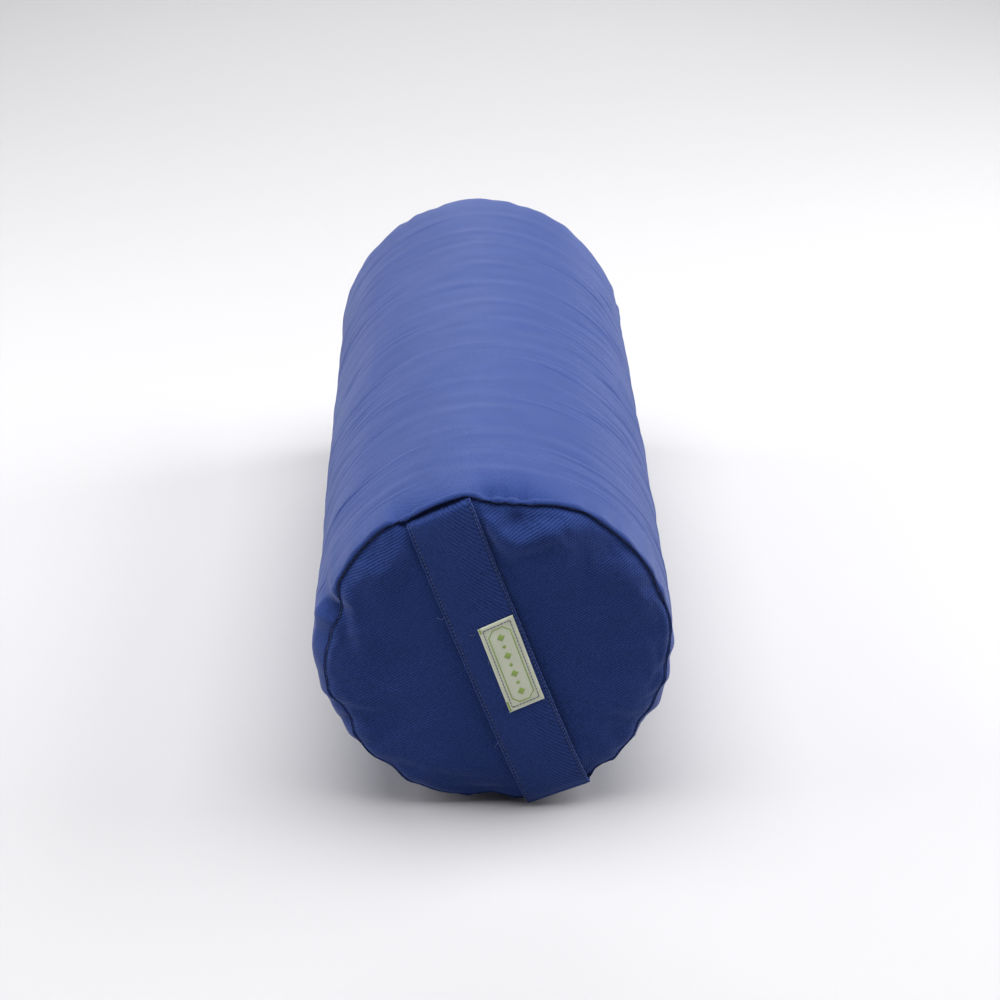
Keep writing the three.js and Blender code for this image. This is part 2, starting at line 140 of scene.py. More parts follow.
# Broad soft hoops across the top: distance behind the lip plane, degrees of the middle, half span, height
MAIN_HOOPS = [
    (600, 92, 60, 0.32), (552, 88, 62, 0.40), (516, 76, 50, 0.26), (468, 60, 45, 0.26), (420, 96, 60, 0.30),
    (372, 84, 66, 0.34), (330, 100, 50, 0.24), (276, 82, 56, 0.22), (205, 66, 44, 0.22), (150, 104, 40, 0.18),
    (98, 66, 34, 0.28), (62, 44, 30, 0.4), (50, 138, 26, 0.45), (34, 60, 34, 0.35),
]
# Fine hoop creases of the two sides: degrees of their middle and spread, half spans, heights, and how many
SIDE_CREASES = [(27, 8, (18, 40), (0.30, 0.75), 74), (155, 7, (13, 30), (0.28, 0.65), 58)]

# ---- stage: camera, lights, floor ---------------------------------------------------------------

CAMERA_FROM_LIP = Vector((-0.0287, -1.5929, 0.8495))
CAMERA_YAW = math.radians(1.179)
CAMERA_PITCH = math.radians(24.643)
CAMERA_LENS = 91.53
TARGET = Vector((0, 0, 0.12))
# Softboxes aimed at the target: place, width and height, watts
SOFTBOXES = {
    "top_softbox": ((0, -0.18, 2.3), (2.6, 1.9), 83),
    "rear_softbox": ((0, 2.6, 1.2), (2.4, 1.4), 30),
    "right_softbox": ((1.9, 0.4, 1.2), (1.6, 1.6), 64),
    "left_softbox": ((-1.9, 0.1, 0.95), (1.6, 1.4), 38),
    "front_fill": ((-1.5, -2.3, 0.6), (1.8, 0.9), 2.5),
}
FLOOR_HALF = 30.0


def add_camera():
    data = bpy.data.cameras.new("camera")
    data.lens = CAMERA_LENS
    data.sensor_width = 36
    camera = bpy.data.objects.new("camera", data)
    camera.location = Vector((0, FRONT, AXIS_HEIGHT)) + CAMERA_FROM_LIP
    camera.rotation_euler = (math.pi / 2 - CAMERA_PITCH, 0, -CAMERA_YAW)
    bpy.context.scene.collection.objects.link(camera)
    bpy.context.scene.camera = camera


def add_softbox(name, location, size, power):
    data = bpy.data.lights.new(name, "AREA")
    data.shape = "RECTANGLE"
    data.size, data.size_y = size
    data.energy = power
    light = bpy.data.objects.new(name, data)
    light.location = location
    light.rotation_euler = (TARGET - Vector(location)).to_track_quat("-Z", "Y").to_euler()
    bpy.context.scene.collection.objects.link(light)


def add_stage():
    scene = bpy.context.scene
    scene.view_settings.view_transform = "Standard"
    world = bpy.data.worlds.new("studio")
    world.use_nodes = True
    background = world.node_tree.nodes["Background"]
    background.inputs["Color"].default_value = (0.95, 0.96, 1.0, 1)
    background.inputs["Strength"].default_value = 0.05
    scene.world = world
    for name, (location, size, power) in SOFTBOXES.items():
        add_softbox(name, location, size, power)

    corners = [(x * FLOOR_HALF, y * FLOOR_HALF, 0) for x, y in ((-1, -1), (1, -1), (1, 1), (-1, 1))]
    mesh = bpy.data.meshes.new("floor")
    mesh.from_pydata(corners, [], [(0, 1, 2, 3)])
    floor = bpy.data.objects.new("floor", mesh)
    scene.collection.objects.link(floor)
    floor.data.materials.append(floor_material())


# ---- materials ----------------------------------------------------------------------------------


class Nodes:
    """Short forms for building one material's node tree."""

    def __init__(self, name):
        self.material = bpy.data.materials.new(name)
        self.material.use_nodes = True
        self.tree = self.material.node_tree
        self.shader = self.tree.nodes["Principled BSDF"]

    def add(self, kind, links=(), **settings):
        node = self.tree.nodes.new(kind)
        for key, value in settings.items():
            setattr(node, key, value)
        for index, source in enumerate(links):
            if source is None:
                continue
            if hasattr(source, "is_output"):
                self.tree.links.new(source, node.inputs[index])
            else:
                node.inputs[index].default_value = source
        return node

    def math(self, operation, *links):
        return self.add("ShaderNodeMath", links, operation=operation).outputs[0]

    def noise(self, vector, scale, detail=2.0, roughness=0.5):
        node = self.add("ShaderNodeTexNoise", (vector,))
        node.inputs["Scale"].default_value = scale
        node.inputs["Detail"].default_value = detail
        node.inputs["Roughness"].default_value = roughness
        return node.outputs["Fac"]

    def ramp(self, value, low, high):
        """A mix from colour low to colour high by value."""
        node = self.add("ShaderNodeMix", data_type="RGBA", clamp_factor=True)
        self.tree.links.new(value, node.inputs["Factor"])
        node.inputs["A"].default_value = (*low, 1)
        node.inputs["B"].default_value = (*high, 1)
        return node.outputs["Result"]

    def finish(self, colour, height, distance, strength=1.0, **constants):
        bump = self.add("ShaderNodeBump")
        bump.inputs["Distance"].default_value = distance
        bump.inputs["Strength"].default_value = strength
        self.tree.links.new(height, bump.inputs["Height"])
        self.tree.links.new(bump.outputs["Normal"], self.shader.inputs["Normal"])
        self.tree.links.new(colour, self.shader.inputs["Base Color"])
        for key, value in constants.items():
            self.shader.inputs[key.replace("_", " ").title().replace("Ior", "IOR")].default_value = value
        return self.material

    def weave_map(self, turn, spacing):
        """X across the wales and Y along them, in wale spacings."""
        uv = self.add("ShaderNodeUVMap", uv_map=WEAVE).outputs["UV"]
        mapping = self.add("ShaderNodeMapping", (uv,))
        mapping.inputs["Rotation"].default_value = (0, 0, turn)
        mapping.inputs["Scale"].default_value = (1 / spacing, 1 / spacing, 1)
        return self.add("ShaderNodeSeparateXYZ", (mapping.outputs["Vector"],)).outputs

    def fine_creases(self):
        """Hair-fine creases that run round the roll, down its two sides, in twill heights."""
        uv = self.add("ShaderNodeUVMap", uv_map=WEAVE).outputs["UV"]
        girth = self.add("ShaderNodeSeparateXYZ", (uv,)).outputs[0]
        from_top = self.math("ABSOLUTE", self.math("SUBTRACT", girth, math.pi / 2 * RADIUS))
        down_side = self.add(
            "ShaderNodeMath", (self.math("SUBTRACT", from_top, 70 * MM), 1 / (50 * MM)),
            operation="MULTIPLY", use_clamp=True,
        ).outputs[0]
        mapping = self.add("ShaderNodeMapping", (uv,))
        mapping.inputs["Scale"].default_value = (8, 90, 1)
        streak = self.noise(mapping.outputs["Vector"], 1.0, 3, 0.55)
        ridge = self.math("ABSOLUTE", self.math("SUBTRACT", streak, 0.5))
        ridge = self.math("SUBTRACT", 1.0, self.math("MULTIPLY", ridge, 4.0))
        return self.math("MULTIPLY", ridge, self.math("MULTIPLY", down_side, 0.9))

    def needle_holes(self):
        """1 in the needle holes between the strap's stitches, by its weave map across and along."""
        uv = self.add("ShaderNodeUVMap", uv_map=WEAVE).outputs["UV"]
        across, along, _ = self.add("ShaderNodeSeparateXYZ", (uv,)).outputs
        rows = [self.math("ABSOLUTE", self.math("SUBTRACT", across, row)) for row in STITCH_ROWS]
        from_row = self.math("MINIMUM", *rows)
        turn = self.math("FRACT", self.math("DIVIDE", along, STITCH_PITCH))
        from_hole = self.math("ABSOLUTE", self.math("SUBTRACT", turn, 0.5))
        from_hole = self.math("MULTIPLY", from_hole, STITCH_PITCH)
        away = self.math("ADD", self.math("POWER", from_row, 2), self.math("POWER", from_hole, 2))
        away = self.math("SQRT", away)
        fall = self.math("DIVIDE", self.math("SUBTRACT", away, 0.25 * MM), 0.45 * MM)
        hole = self.add("ShaderNodeMath", (1.0, fall), operation="SUBTRACT", use_clamp=True)
        return hole.outputs[0]

    def object_position(self):
        return self.add("ShaderNodeTexCoord").outputs["Object"]


DYE_DARK = (0.0080, 0.0205, 0.098)
DYE_LIGHT = (0.029, 0.062, 0.246)
# painted shade: the dark colour laid into the strap's needle holes, standing for the shade inside them
NEEDLE_HOLE_SHADE = (0.004, 0.007, 0.028)


def floor_material():
    nodes = Nodes("studio_floor")
    place = nodes.object_position()
    tone = nodes.noise(place, 1.5, 3)
    colour = nodes.ramp(tone, (0.436, 0.431, 0.445), (0.454, 0.449, 0.463))
    return nodes.finish(colour, nodes.noise(place, 600), 0.0001, roughness=0.7)


def twill_material(
    name, turn, spacing=1.85 * MM, depth=0.24 * MM, contrast=0.6, creased=False, stitched=False
):
    """Cotton twill: slanted wales of crossing yarns, mottled dye, and a bloom of loose fibre; where stitched,
    painted shade in the needle holes.
    """
    nodes = Nodes(name)
    across, along, _ = nodes.weave_map(turn, spacing)
    place = nodes.object_position()
    wander = nodes.math("MULTIPLY", nodes.noise(place, 200, 2), 0.4)
    wale = nodes.math("SINE", nodes.math("MULTIPLY", nodes.math("ADD", across, wander), 2 * math.pi))
    wale = nodes.math("MULTIPLY_ADD", wale, 0.5, 0.5)
    pick = nodes.math("MULTIPLY_ADD", across, 0.5, nodes.math("MULTIPLY", along, 0.9))
    pick = nodes.math("SINE", nodes.math("MULTIPLY", pick, 2 * math.pi))
    yarn = nodes.math("MULTIPLY_ADD", pick, 0.16, 0.84)
    fuzz = nodes.noise(place, 2600, 3, 0.7)
    height = nodes.math("MULTIPLY_ADD", fuzz, 0.5, nodes.math("MULTIPLY", wale, yarn))
    slub = nodes.noise(place, 750, 2, 0.6)
    cloud = nodes.noise(place, 34, 4, 0.6)
    mottle = nodes.math("MULTIPLY_ADD", cloud, 0.18, nodes.math("MULTIPLY", height, contrast))
    mottle = nodes.math("MULTIPLY_ADD", nodes.math("SUBTRACT", slub, 0.5), 1.2, mottle)
    colour = nodes.ramp(mottle, DYE_DARK, DYE_LIGHT)
    if creased:
        height = nodes.math("ADD", height, nodes.fine_creases())
    if stitched:
        hole = nodes.needle_holes()
        height = nodes.math("MULTIPLY_ADD", hole, -1.5, height)
        # painted shade in the needle holes: the base colour is darkened where the strap is pierced
        dark = nodes.add("ShaderNodeMix", data_type="RGBA", clamp_factor=True)
        nodes.tree.links.new(hole, dark.inputs["Factor"])
        nodes.tree.links.new(colour, dark.inputs["A"])
        dark.inputs["B"].default_value = (*NEEDLE_HOLE_SHADE, 1)
        colour = dark.outputs["Result"]
    return nodes.finish(
        colour, height, depth, roughness=0.95, specular_ior_level=0.1,
        sheen_weight=0.26, sheen_roughness=0.45, sheen_tint=(0.74, 0.79, 1.0, 1),
    )


def plain_weave_material(name, dark, light, spacing, roughness=0.9):
    """Plain weave: warp over weft in a fine check."""
    nodes = Nodes(name)
    across, along, _ = nodes.weave_map(0, spacing)
    warp = nodes.math("ABSOLUTE", nodes.math("SINE", nodes.math("MULTIPLY", across, math.pi)))
    weft = nodes.math("ABSOLUTE", nodes.math("SINE", nodes.math("MULTIPLY", along, math.pi)))
    place = nodes.object_position()
    height = nodes.math("MULTIPLY_ADD", nodes.noise(place, 900, 2), 0.3, nodes.math("MULTIPLY", warp, weft))
    mottle = nodes.math("MULTIPLY_ADD", nodes.noise(place, 60, 3), 0.6, nodes.math("MULTIPLY", height, 0.3))
    colour = nodes.ramp(mottle, dark, light)
    return nodes.finish(colour, height, 0.1 * MM, roughness=roughness, sheen_weight=0.2)


def thread_material(name, dark, light):
    """Twisted sewing thread."""
    nodes = Nodes(name)
    place = nodes.object_position()
    fibre = nodes.noise(place, 3000, 3, 0.7)
    colour = nodes.ramp(fibre, dark, light)
    return nodes.finish(colour, fibre, 0.05 * MM, roughness=0.6, sheen_weight=0.25)


def metal_material():
    """Tumbled nickel plate."""
    nodes = Nodes("nickel")
    place = nodes.object_position()
    scuff = nodes.noise(place, 900, 4, 0.65)
    colour = nodes.ramp(scuff, (0.52, 0.53, 0.55), (0.68, 0.69, 0.70))
    rough = nodes.math("MULTIPLY_ADD", scuff, 0.25, 0.2)
    nodes.tree.links.new(rough, nodes.shader.inputs["Roughness"])
    return nodes.finish(colour, scuff, 0.02 * MM, metallic=1.0)


def nylon_material():
    """Extruded nylon monofilament."""
    nodes = Nodes("zip_nylon")
    place = nodes.object_position()
    streak = nodes.noise(place, 700, 2)
    colour = nodes.ramp(streak, (0.020, 0.032, 0.11), (0.032, 0.05, 0.16))
    return nodes.finish(colour, streak, 0.02 * MM, roughness=0.38)


def batt_material():
    """Matted cotton fibre."""
    nodes = Nodes("cotton_batt")
    place = nodes.object_position()
    fibre = nodes.noise(place, 500, 6, 0.75)
    clump = nodes.noise(place, 60, 3)
    height = nodes.math("MULTIPLY_ADD", clump, 1.5, fibre)
    colour = nodes.ramp(fibre, (0.66, 0.61, 0.50), (0.86, 0.83, 0.74))
    return nodes.finish(colour, height, 0.8 * MM, roughness=1.0, sheen_weight=0.4)


PAINT = {
    "side": twill_material("twill_side", math.radians(50), 1.3 * MM, 0.15 * MM, 0.5, creased=True),
    "end": twill_material("twill_end", math.radians(59)),
    "strap": twill_material("twill_strap", math.radians(27), stitched=True),
    "thread": thread_material("blue_thread", (0.018, 0.034, 0.14), (0.04, 0.07, 0.24)),
    "navy_thread": thread_material("navy_thread", (0.008, 0.012, 0.05), (0.02, 0.03, 0.10)),
    "label": plain_weave_material("label_weave", (0.62, 0.66, 0.50), (0.84, 0.87, 0.72), 0.55 * MM),
    "label_green": thread_material("label_green", (0.22, 0.34, 0.06), (0.36, 0.50, 0.12)),
    "tape": plain_weave_material("zip_tape", (0.010, 0.018, 0.07), (0.022, 0.036, 0.13), 0.8 * MM),
    "muslin": plain_weave_material("muslin", (0.55, 0.50, 0.40), (0.74, 0.69, 0.58), 0.7 * MM),
    "nylon": nylon_material(),
    "metal": metal_material(),
    "batt": batt_material(),
}

# ---- mesh helpers -------------------------------------------------------------------------------


def mesh_object(name, vertices, faces, paint, loop_uv=None, smooth=True):
    mesh = bpy.data.meshes.new(name)
    mesh.from_pydata(vertices, [], faces)
    if loop_uv is not None:
        layer = mesh.uv_layers.new(name=WEAVE)
        layer.data.foreach_set("uv", np.asarray(loop_uv, np.float32).ravel())
    mesh.polygons.foreach_set("use_smooth", [smooth] * len(mesh.polygons))
    mesh.materials.append(PAINT[paint])
    mesh.update()
    piece = bpy.data.objects.new(name, mesh)
    bpy.context.scene.collection.objects.link(piece)
    return piece


def grid_object(name, points, uv, paint, close_rows=False, keep=None, caps=False):
    """A quad grid of points [row, column, xyz] with uv [row, column, 2].

    close_rows joins the last row to the first, whose uv then has one row more. keep, [row, column] of faces,
    leaves faces out. caps closes the first and last column with a fan of one polygon each.
    """
    rows, columns = points.shape[:2]
    spans = rows if close_rows else rows - 1
    row, column = np.meshgrid(np.arange(spans), np.arange(columns - 1), indexing="ij")
    if keep is not None:
        row, column = row[keep], column[keep]
    row, column = row.ravel(), column.ravel()
    after = (row + 1) % rows
    corners = [(row, column), (after, column), (after, column + 1), (row, column + 1)]
    faces = np.stack([r * columns + c for r, c in corners], axis=1)
    uv_corners = [(row, column), (row + 1, column), (row + 1, column + 1), (row, column + 1)]
    loop_uv = np.stack([uv[r, c] for r, c in uv_corners], axis=1).reshape(-1, 2)
    faces = faces.tolist()
    if caps:
        first = [r * columns for r in range(rows)]
        last = [r * columns + columns - 1 for r in range(rows)]
        faces += [first[::-1], last]
        loop_uv = np.concatenate([loop_uv, uv[:rows, 0][::-1], uv[:rows, -1]])
    piece = mesh_object(name, points.reshape(-1, 3), faces, paint, loop_uv)
    if caps:
        for face in piece.data.polygons[-2:]:
            face.use_smooth = False
    return piece


def turned(piece):
    """piece with its faces turned over, to face out."""
    piece.data.flip_normals()
    return piece


def thicken(piece, thickness, offset=-1):
    """Gives a cloth surface its thickness, inward by default."""
    solid = piece.modifiers.new("thickness", "SOLIDIFY")
    solid.thickness = thickness
    solid.offset = offset
    solid.use_even_offset = False
    return piece


def tube_object(name, path, radius, paint, sides=6, close=False):
    """A round thread or wire along a path of points, as a mesh."""
    path = np.asarray(path, float)
    ahead = np.roll(path, -1, 0) - path
    behind = path - np.roll(path, 1, 0)
    if not close:
        ahead[-1], behind[0] = behind[-1], ahead[0]
    along = ahead + behind
    along /= np.linalg.norm(along, axis=1)[:, None]
    hint = np.array([0.31, 0.77, 0.56])
    side = np.cross(along, hint)
    side /= np.linalg.norm(side, axis=1)[:, None]
    up = np.cross(side, along)
    turns = np.arange(sides) * 2 * math.pi / sides
    ring = side[:, None] * np.cos(turns)[None, :, None] + up[:, None] * np.sin(turns)[None, :, None]
    points = path[:, None] + radius * ring
    if close:
        points = np.concatenate([points, points[:1]])
    points = points.transpose(1, 0, 2)
    uv = np.zeros((sides + 1, points.shape[1], 2))
    uv[..., 0] = np.linspace(0, 2 * math.pi * radius, sides + 1)[:, None]
    uv[..., 1] = np.linspace(0, len(path) * radius, points.shape[1])[None]
    return turned(grid_object(name, points, uv, paint, close_rows=True, caps=not close))


STITCH_SIDES = 6
STITCH_RINGS = 5


def stitch_row(name, centres, along, out, length, width, paint="thread"):
    """One raised capsule for each stitch of a row."""
    centres, along, out = (np.asarray(a, float) for a in (centres, along, out))
    along = along / np.linalg.norm(along, axis=1)[:, None]
    across = np.cross(along, out)
    across /= np.linalg.norm(across, axis=1)[:, None]
    out = np.cross(across, along)
    station = np.linspace(-1, 1, STITCH_RINGS)
    girth = np.sqrt(np.clip(1.04 - station ** 4, 0.04, 1))
    turns = np.arange(STITCH_SIDES) * 2 * math.pi / STITCH_SIDES
    template = np.array([
        (s * length / 2, g * math.cos(a) * width / 2, g * math.sin(a) * width / 2)
        for s, g in zip(station, girth) for a in turns
    ])
    points = centres[:, None] + sum(
        template[None, :, i, None] * axis[:, None] for i, axis in enumerate((along, across, out))
    )
    faces = []
    for ring in range(STITCH_RINGS - 1):
        for side in range(STITCH_SIDES):
            a, b = ring * STITCH_SIDES + side, ring * STITCH_SIDES + (side + 1) % STITCH_SIDES
            faces.append((a, b, b + STITCH_SIDES, a + STITCH_SIDES))
    last = (STITCH_RINGS - 1) * STITCH_SIDES
    faces.append(tuple(range(STITCH_SIDES))[::-1])
    faces.append(tuple(range(last, last + STITCH_SIDES)))
    size = len(template)
    all_faces = [tuple(v + k * size for v in face) for k in range(len(centres)) for face in faces]
    return turned(mesh_object(name, points.reshape(-1, 3), all_faces, paint))


def place(piece, body, slot, *nodes):
    """piece rides on body and stands for these CAD nodes, which it hides. slot is not used."""
    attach(piece, body)
    if nodes:
        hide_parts(*nodes)
    return piece


# ---- the roll's surface -------------------------------------------------------------------------


def settle(radius, angle, inset=0.0):
    """x and z of a layer's cross-section: a circle spread sideways, resting flat on the floor."""
    floor = inset - AXIS_HEIGHT
    z = floor + SETTLE_SOFTNESS * np.logaddexp(0, (radius * np.sin(angle) - floor) / SETTLE_SOFTNESS)
    return WIDTH_FACTOR * radius * np.cos(angle), AXIS_HEIGHT + z


def between(angle, centre):
    """Signed angle from centre, in radians, wrapped to half a turn."""
    return (angle - centre + math.pi) % (2 * math.pi) - math.pi


def seam_radius(angle, outline):
    """Radius of an end seam by angle: straight runs with slightly rounded corners."""
    degrees, radii = np.array(sorted(outline), float).T
    total = 0
    softening = np.radians([-2.4, -1.2, 0, 1.2, 2.4])
    for shift in softening:
        total = total + np.interp(np.degrees(between(angle + shift, 0)), degrees, radii, period=360)
    return total / len(softening) * MM


def gather_depth(angle, distance, gathers, run_index):
    """How deep the gathers pull the cloth in, at a distance from the seam."""
    depth = 0
    for gather in gathers:
        centre, deep, half_width, run = math.radians(gather[0]), gather[1], gather[2], gather[run_index]
        offset = between(angle, centre) * RADIUS / (half_width * MM)
        spread = 1 + distance / (2.2 * run * MM)
        valley = np.exp(-np.sqrt((offset / spread) ** 2 + 0.08))
        shoulder = 0.35 * np.exp(-((np.abs(offset / spread) - 2.2) / 0.9) ** 2)
        depth = depth + deep * MM * (valley - shoulder) * np.exp(-distance / (run * MM))
    return depth


def rear_gathers():
    """Gathers spaced unevenly round the rear seam, two of them listed, and the seam's outline."""
    rng = np.random.default_rng(11)
    angles = np.arange(-172, 180, 13.5)
    angles += rng.uniform(-4, 4, len(angles))
    gathers = [
        (a, rng.uniform(0.3, 1.3), rng.uniform(3.5, 6), rng.uniform(18, 36), rng.uniform(8, 20))
        for a in angles
    ]
    outline = [(a, 119.5 + rng.uniform(-2.5, 2.5)) for a in angles]
    return gathers + [(14, 3.4, 5, 55, 10), (123, 1.8, 4, 24, 10)], outline


REAR_GATHERS, REAR_SEAM = rear_gathers()


MAIN_HOOP_WIDTH = 6.5
FAINT_HOOPS = 70


def hoop_creases():
    """Creases round the girth: broad on top, finer down the sides, and faint ones all over."""
    rng = np.random.default_rng(5)
    creases = [(*hoop, MAIN_HOOP_WIDTH, rng.uniform(-3, 3)) for hoop in MAIN_HOOPS]
    for side, spread, spans, rises, count in SIDE_CREASES:
        for _ in range(count):
            creases.append((
                620 * rng.beta(1.0, 1.25) + 22, side + rng.normal(0, spread), rng.uniform(*spans),
                rng.uniform(*rises), rng.uniform(1.6, 3.0), rng.uniform(-6, 6),
            ))
    for _ in range(FAINT_HOOPS):
        creases.append((
            rng.uniform(24, 636), rng.uniform(-180, 180), rng.uniform(14, 46), rng.uniform(0.03, 0.09),
            rng.uniform(2.4, 5.0), rng.uniform(-8, 8),
        ))
    return creases


HOOP_REACH = 30 * MM       # past this along the roll, a hoop has faded out
PRESS_CREASE_WIDTH = 3.4 * MM
PRESS_CREASE_HEIGHT = 0.16 * MM


def crease_height(angle, depth):
    """Height of the side panel's creases over its wall, for a column of angles and rows of depths."""
    height = np.zeros(np.broadcast(angle, depth).shape)
    for y, middle, span, rise, width, slant in hoop_creases():
        columns = np.abs(depth[0] - y * MM) < HOOP_REACH
        off = between(angle, math.radians(middle))
        reach = off / math.radians(span)
        line = y * MM + slant * MM * reach + 1.6 * MM * np.sin(off * 5 + y)
        across = (depth[:, columns] - line) / (width * MM)
        fade = np.exp(-(reach ** 4)) * (1 + 0.3 * np.sin(off * 9 + middle))
        ridge = np.exp(-(across ** 2)) - 0.45 * np.exp(-(((across - 1.7) / 1.3) ** 2))
        height[:, columns] += rise * MM * fade * ridge
    for middle, start, stop in PRESS_CREASES:
        offset = between(angle, math.radians(middle)) * RADIUS / PRESS_CREASE_WIDTH
        middle_y, half = (start + stop) / 2 * MM, (stop - start) / 2 * MM
        fade = np.exp(-(((depth - middle_y) / half) ** 4))
        height += PRESS_CREASE_HEIGHT * np.exp(-(offset ** 2)) * fade
    return height


def slow_waves(seed, count, shortest, longest, amplitude):
    """A smooth uneven field over two lengths in metres, from seeded plane waves."""
    rng = np.random.default_rng(seed)
    turn = 2 * math.pi
    waves = [
        (rng.uniform(0, turn), turn / rng.uniform(shortest, longest), rng.uniform(0, turn))
        for _ in range(count)
    ]

    def field(a, b):
        total = 0
        for heading, pitch, phase in waves:
            total = total + np.sin(pitch * (a * math.cos(heading) + b * math.sin(heading)) + phase)
        return amplitude * total / math.sqrt(count)

    return field


# ---- cover --------------------------------------------------------------------------------------

SIDE_ROWS = 384
WALL_FROM = 60 * MM
LIP_ROLL = 2.4 * MM
SLOPE = 13 * MM            # how fast the top rises from its drawn-in lip to the full radius
WALL_STEP = 1.2 * MM
# Pairs are for a panel standing proud of the lip, as below, and for a lip hanging over it, as on top
APEX_OUT = (0.7 * MM, 1.2 * MM)      # the lip's foremost line, outside the seam
APEX_BACK = (2.2 * MM, 0.0)          # and behind the lip plane
ROOT_OUT = (0.55 * MM, 0.0)          # where the two cloths meet, outside the seam
ROOT_DEPTH = 3.8 * MM                # and behind the lip plane
LIP_DEEP = (17 * MM, 4.0 * MM)       # how far back the lip has rounded over into the wall
LIP_DEEPER_BELOW = 34 * MM
EDGE_GAP = 0.8 * MM                  # between a hanging lip and the panel's edge


def ramp_up(value, low, high):
    """Smooth rise from 0 at low to 1 at high."""
    share = np.clip((value - low) / (high - low), 0, 1)
    return share * share * (3 - 2 * share)


def blend_of(pair, share):
    return pair[0] + (pair[1] - pair[0]) * share


def overhang(angle):
    """1 over the top, where the side's lip hangs over the end panel; 0 below, where the panel is proud."""
    degrees = np.degrees(between(angle, 0))
    return ramp_up(degrees, 8, 22) * (1 - ramp_up(degrees, 152, 164))


def foot_room(angle, outline):
    """How far the side's lip is spread by the strap's lower end, sewn in between."""
    if outline is not FRONT_SEAM:
        return 0 * angle
    degrees = np.degrees(between(angle, 0))
    low, high = HANDLE_FOOT
    return FOOT_ROOM * ramp_up(degrees, low - 3, low + 1) * (1 - ramp_up(degrees, high - 1, high + 3))


def underneath(angle):
    """1 at the bottom, where the side falls away behind the panel's edge towards the floor."""
    degrees = np.degrees(between(angle, 0))
    return ramp_up(degrees, -150, -112) * (1 - ramp_up(degrees, -62, -40))


def lip_point(kind, value, seam, hang, room, below):
    """Radius, depth, the outward direction in both, and distance from the seam, of one lip station.

    Stations run from the seam allowance over both sides of the rolled lip to the slope up to the wall.
    """
    zero = 0 * seam
    apex_radius = seam + blend_of(APEX_OUT, hang) + room
    apex_depth = blend_of(APEX_BACK, hang) + room
    root_radius = seam + blend_of(ROOT_OUT, hang) + room
    root_depth = ROOT_DEPTH + room
    if kind == "allowance":
        return root_radius, value + zero, zero, zero, zero
    if kind == "inner":
        radius = apex_radius - (apex_radius - root_radius) * math.sin(value)
        depth = apex_depth + (root_depth - apex_depth) * (1 - math.cos(value))
        return radius, depth, zero, zero - math.cos(value) ** 2, zero
    wide = RADIUS - apex_radius
    wide = blend_of((wide, np.minimum(wide, LIP_ROLL)), hang)
    deep = blend_of(LIP_DEEP, hang) + LIP_DEEPER_BELOW * below - apex_depth
    left_over = RADIUS - apex_radius - wide
    if kind == "slope":
        start = apex_depth + deep
        depth = start + (WALL_FROM - start) * value
        radius = RADIUS - left_over * np.exp(-(depth - start) / SLOPE)
        return radius, depth, 1 + zero, zero, np.hypot(wide, deep) + depth - start
    out_r, out_y = math.sin(value) / wide, -math.cos(value) / deep
    size = np.hypot(out_r, out_y)
    radius = apex_radius + wide * math.sin(value) ** (1 + 0.5 * below)
    depth = apex_depth + deep * (1 - math.cos(value)) ** blend_of((0.6, 1.0), hang)
    distance = np.hypot(radius - apex_radius, depth - apex_depth)
    return radius, depth, out_r / size, out_y / size, distance


def lip_columns(angle, outline, gathers):
    """Radius, depth and distance from the seam of every lip station."""
    stations = [("allowance", ALLOWANCE_DEPTH), ("allowance", 8.7 * MM)]
    stations += [("inner", a) for a in np.radians([90, 70, 50, 30, 12])]
    stations += [("outer", a) for a in np.radians([0, 8, 16, 24, 32, 40, 48, 56, 64, 72, 81, 90])]
    stations += [("slope", share) for share in np.linspace(0, 1, 40)[1:-1] ** 1.2]
    seam, hang, room = seam_radius(angle, outline), overhang(angle), foot_room(angle, outline)
    below = underneath(angle)
    columns = []
    for kind, value in stations:
        radius, depth, out_r, out_y, distance = lip_point(kind, value, seam, hang, room, below)
        pull = gather_depth(angle, distance, gathers, 3)
        columns.append((radius - pull * out_r, depth - pull * out_y, distance))
    return columns


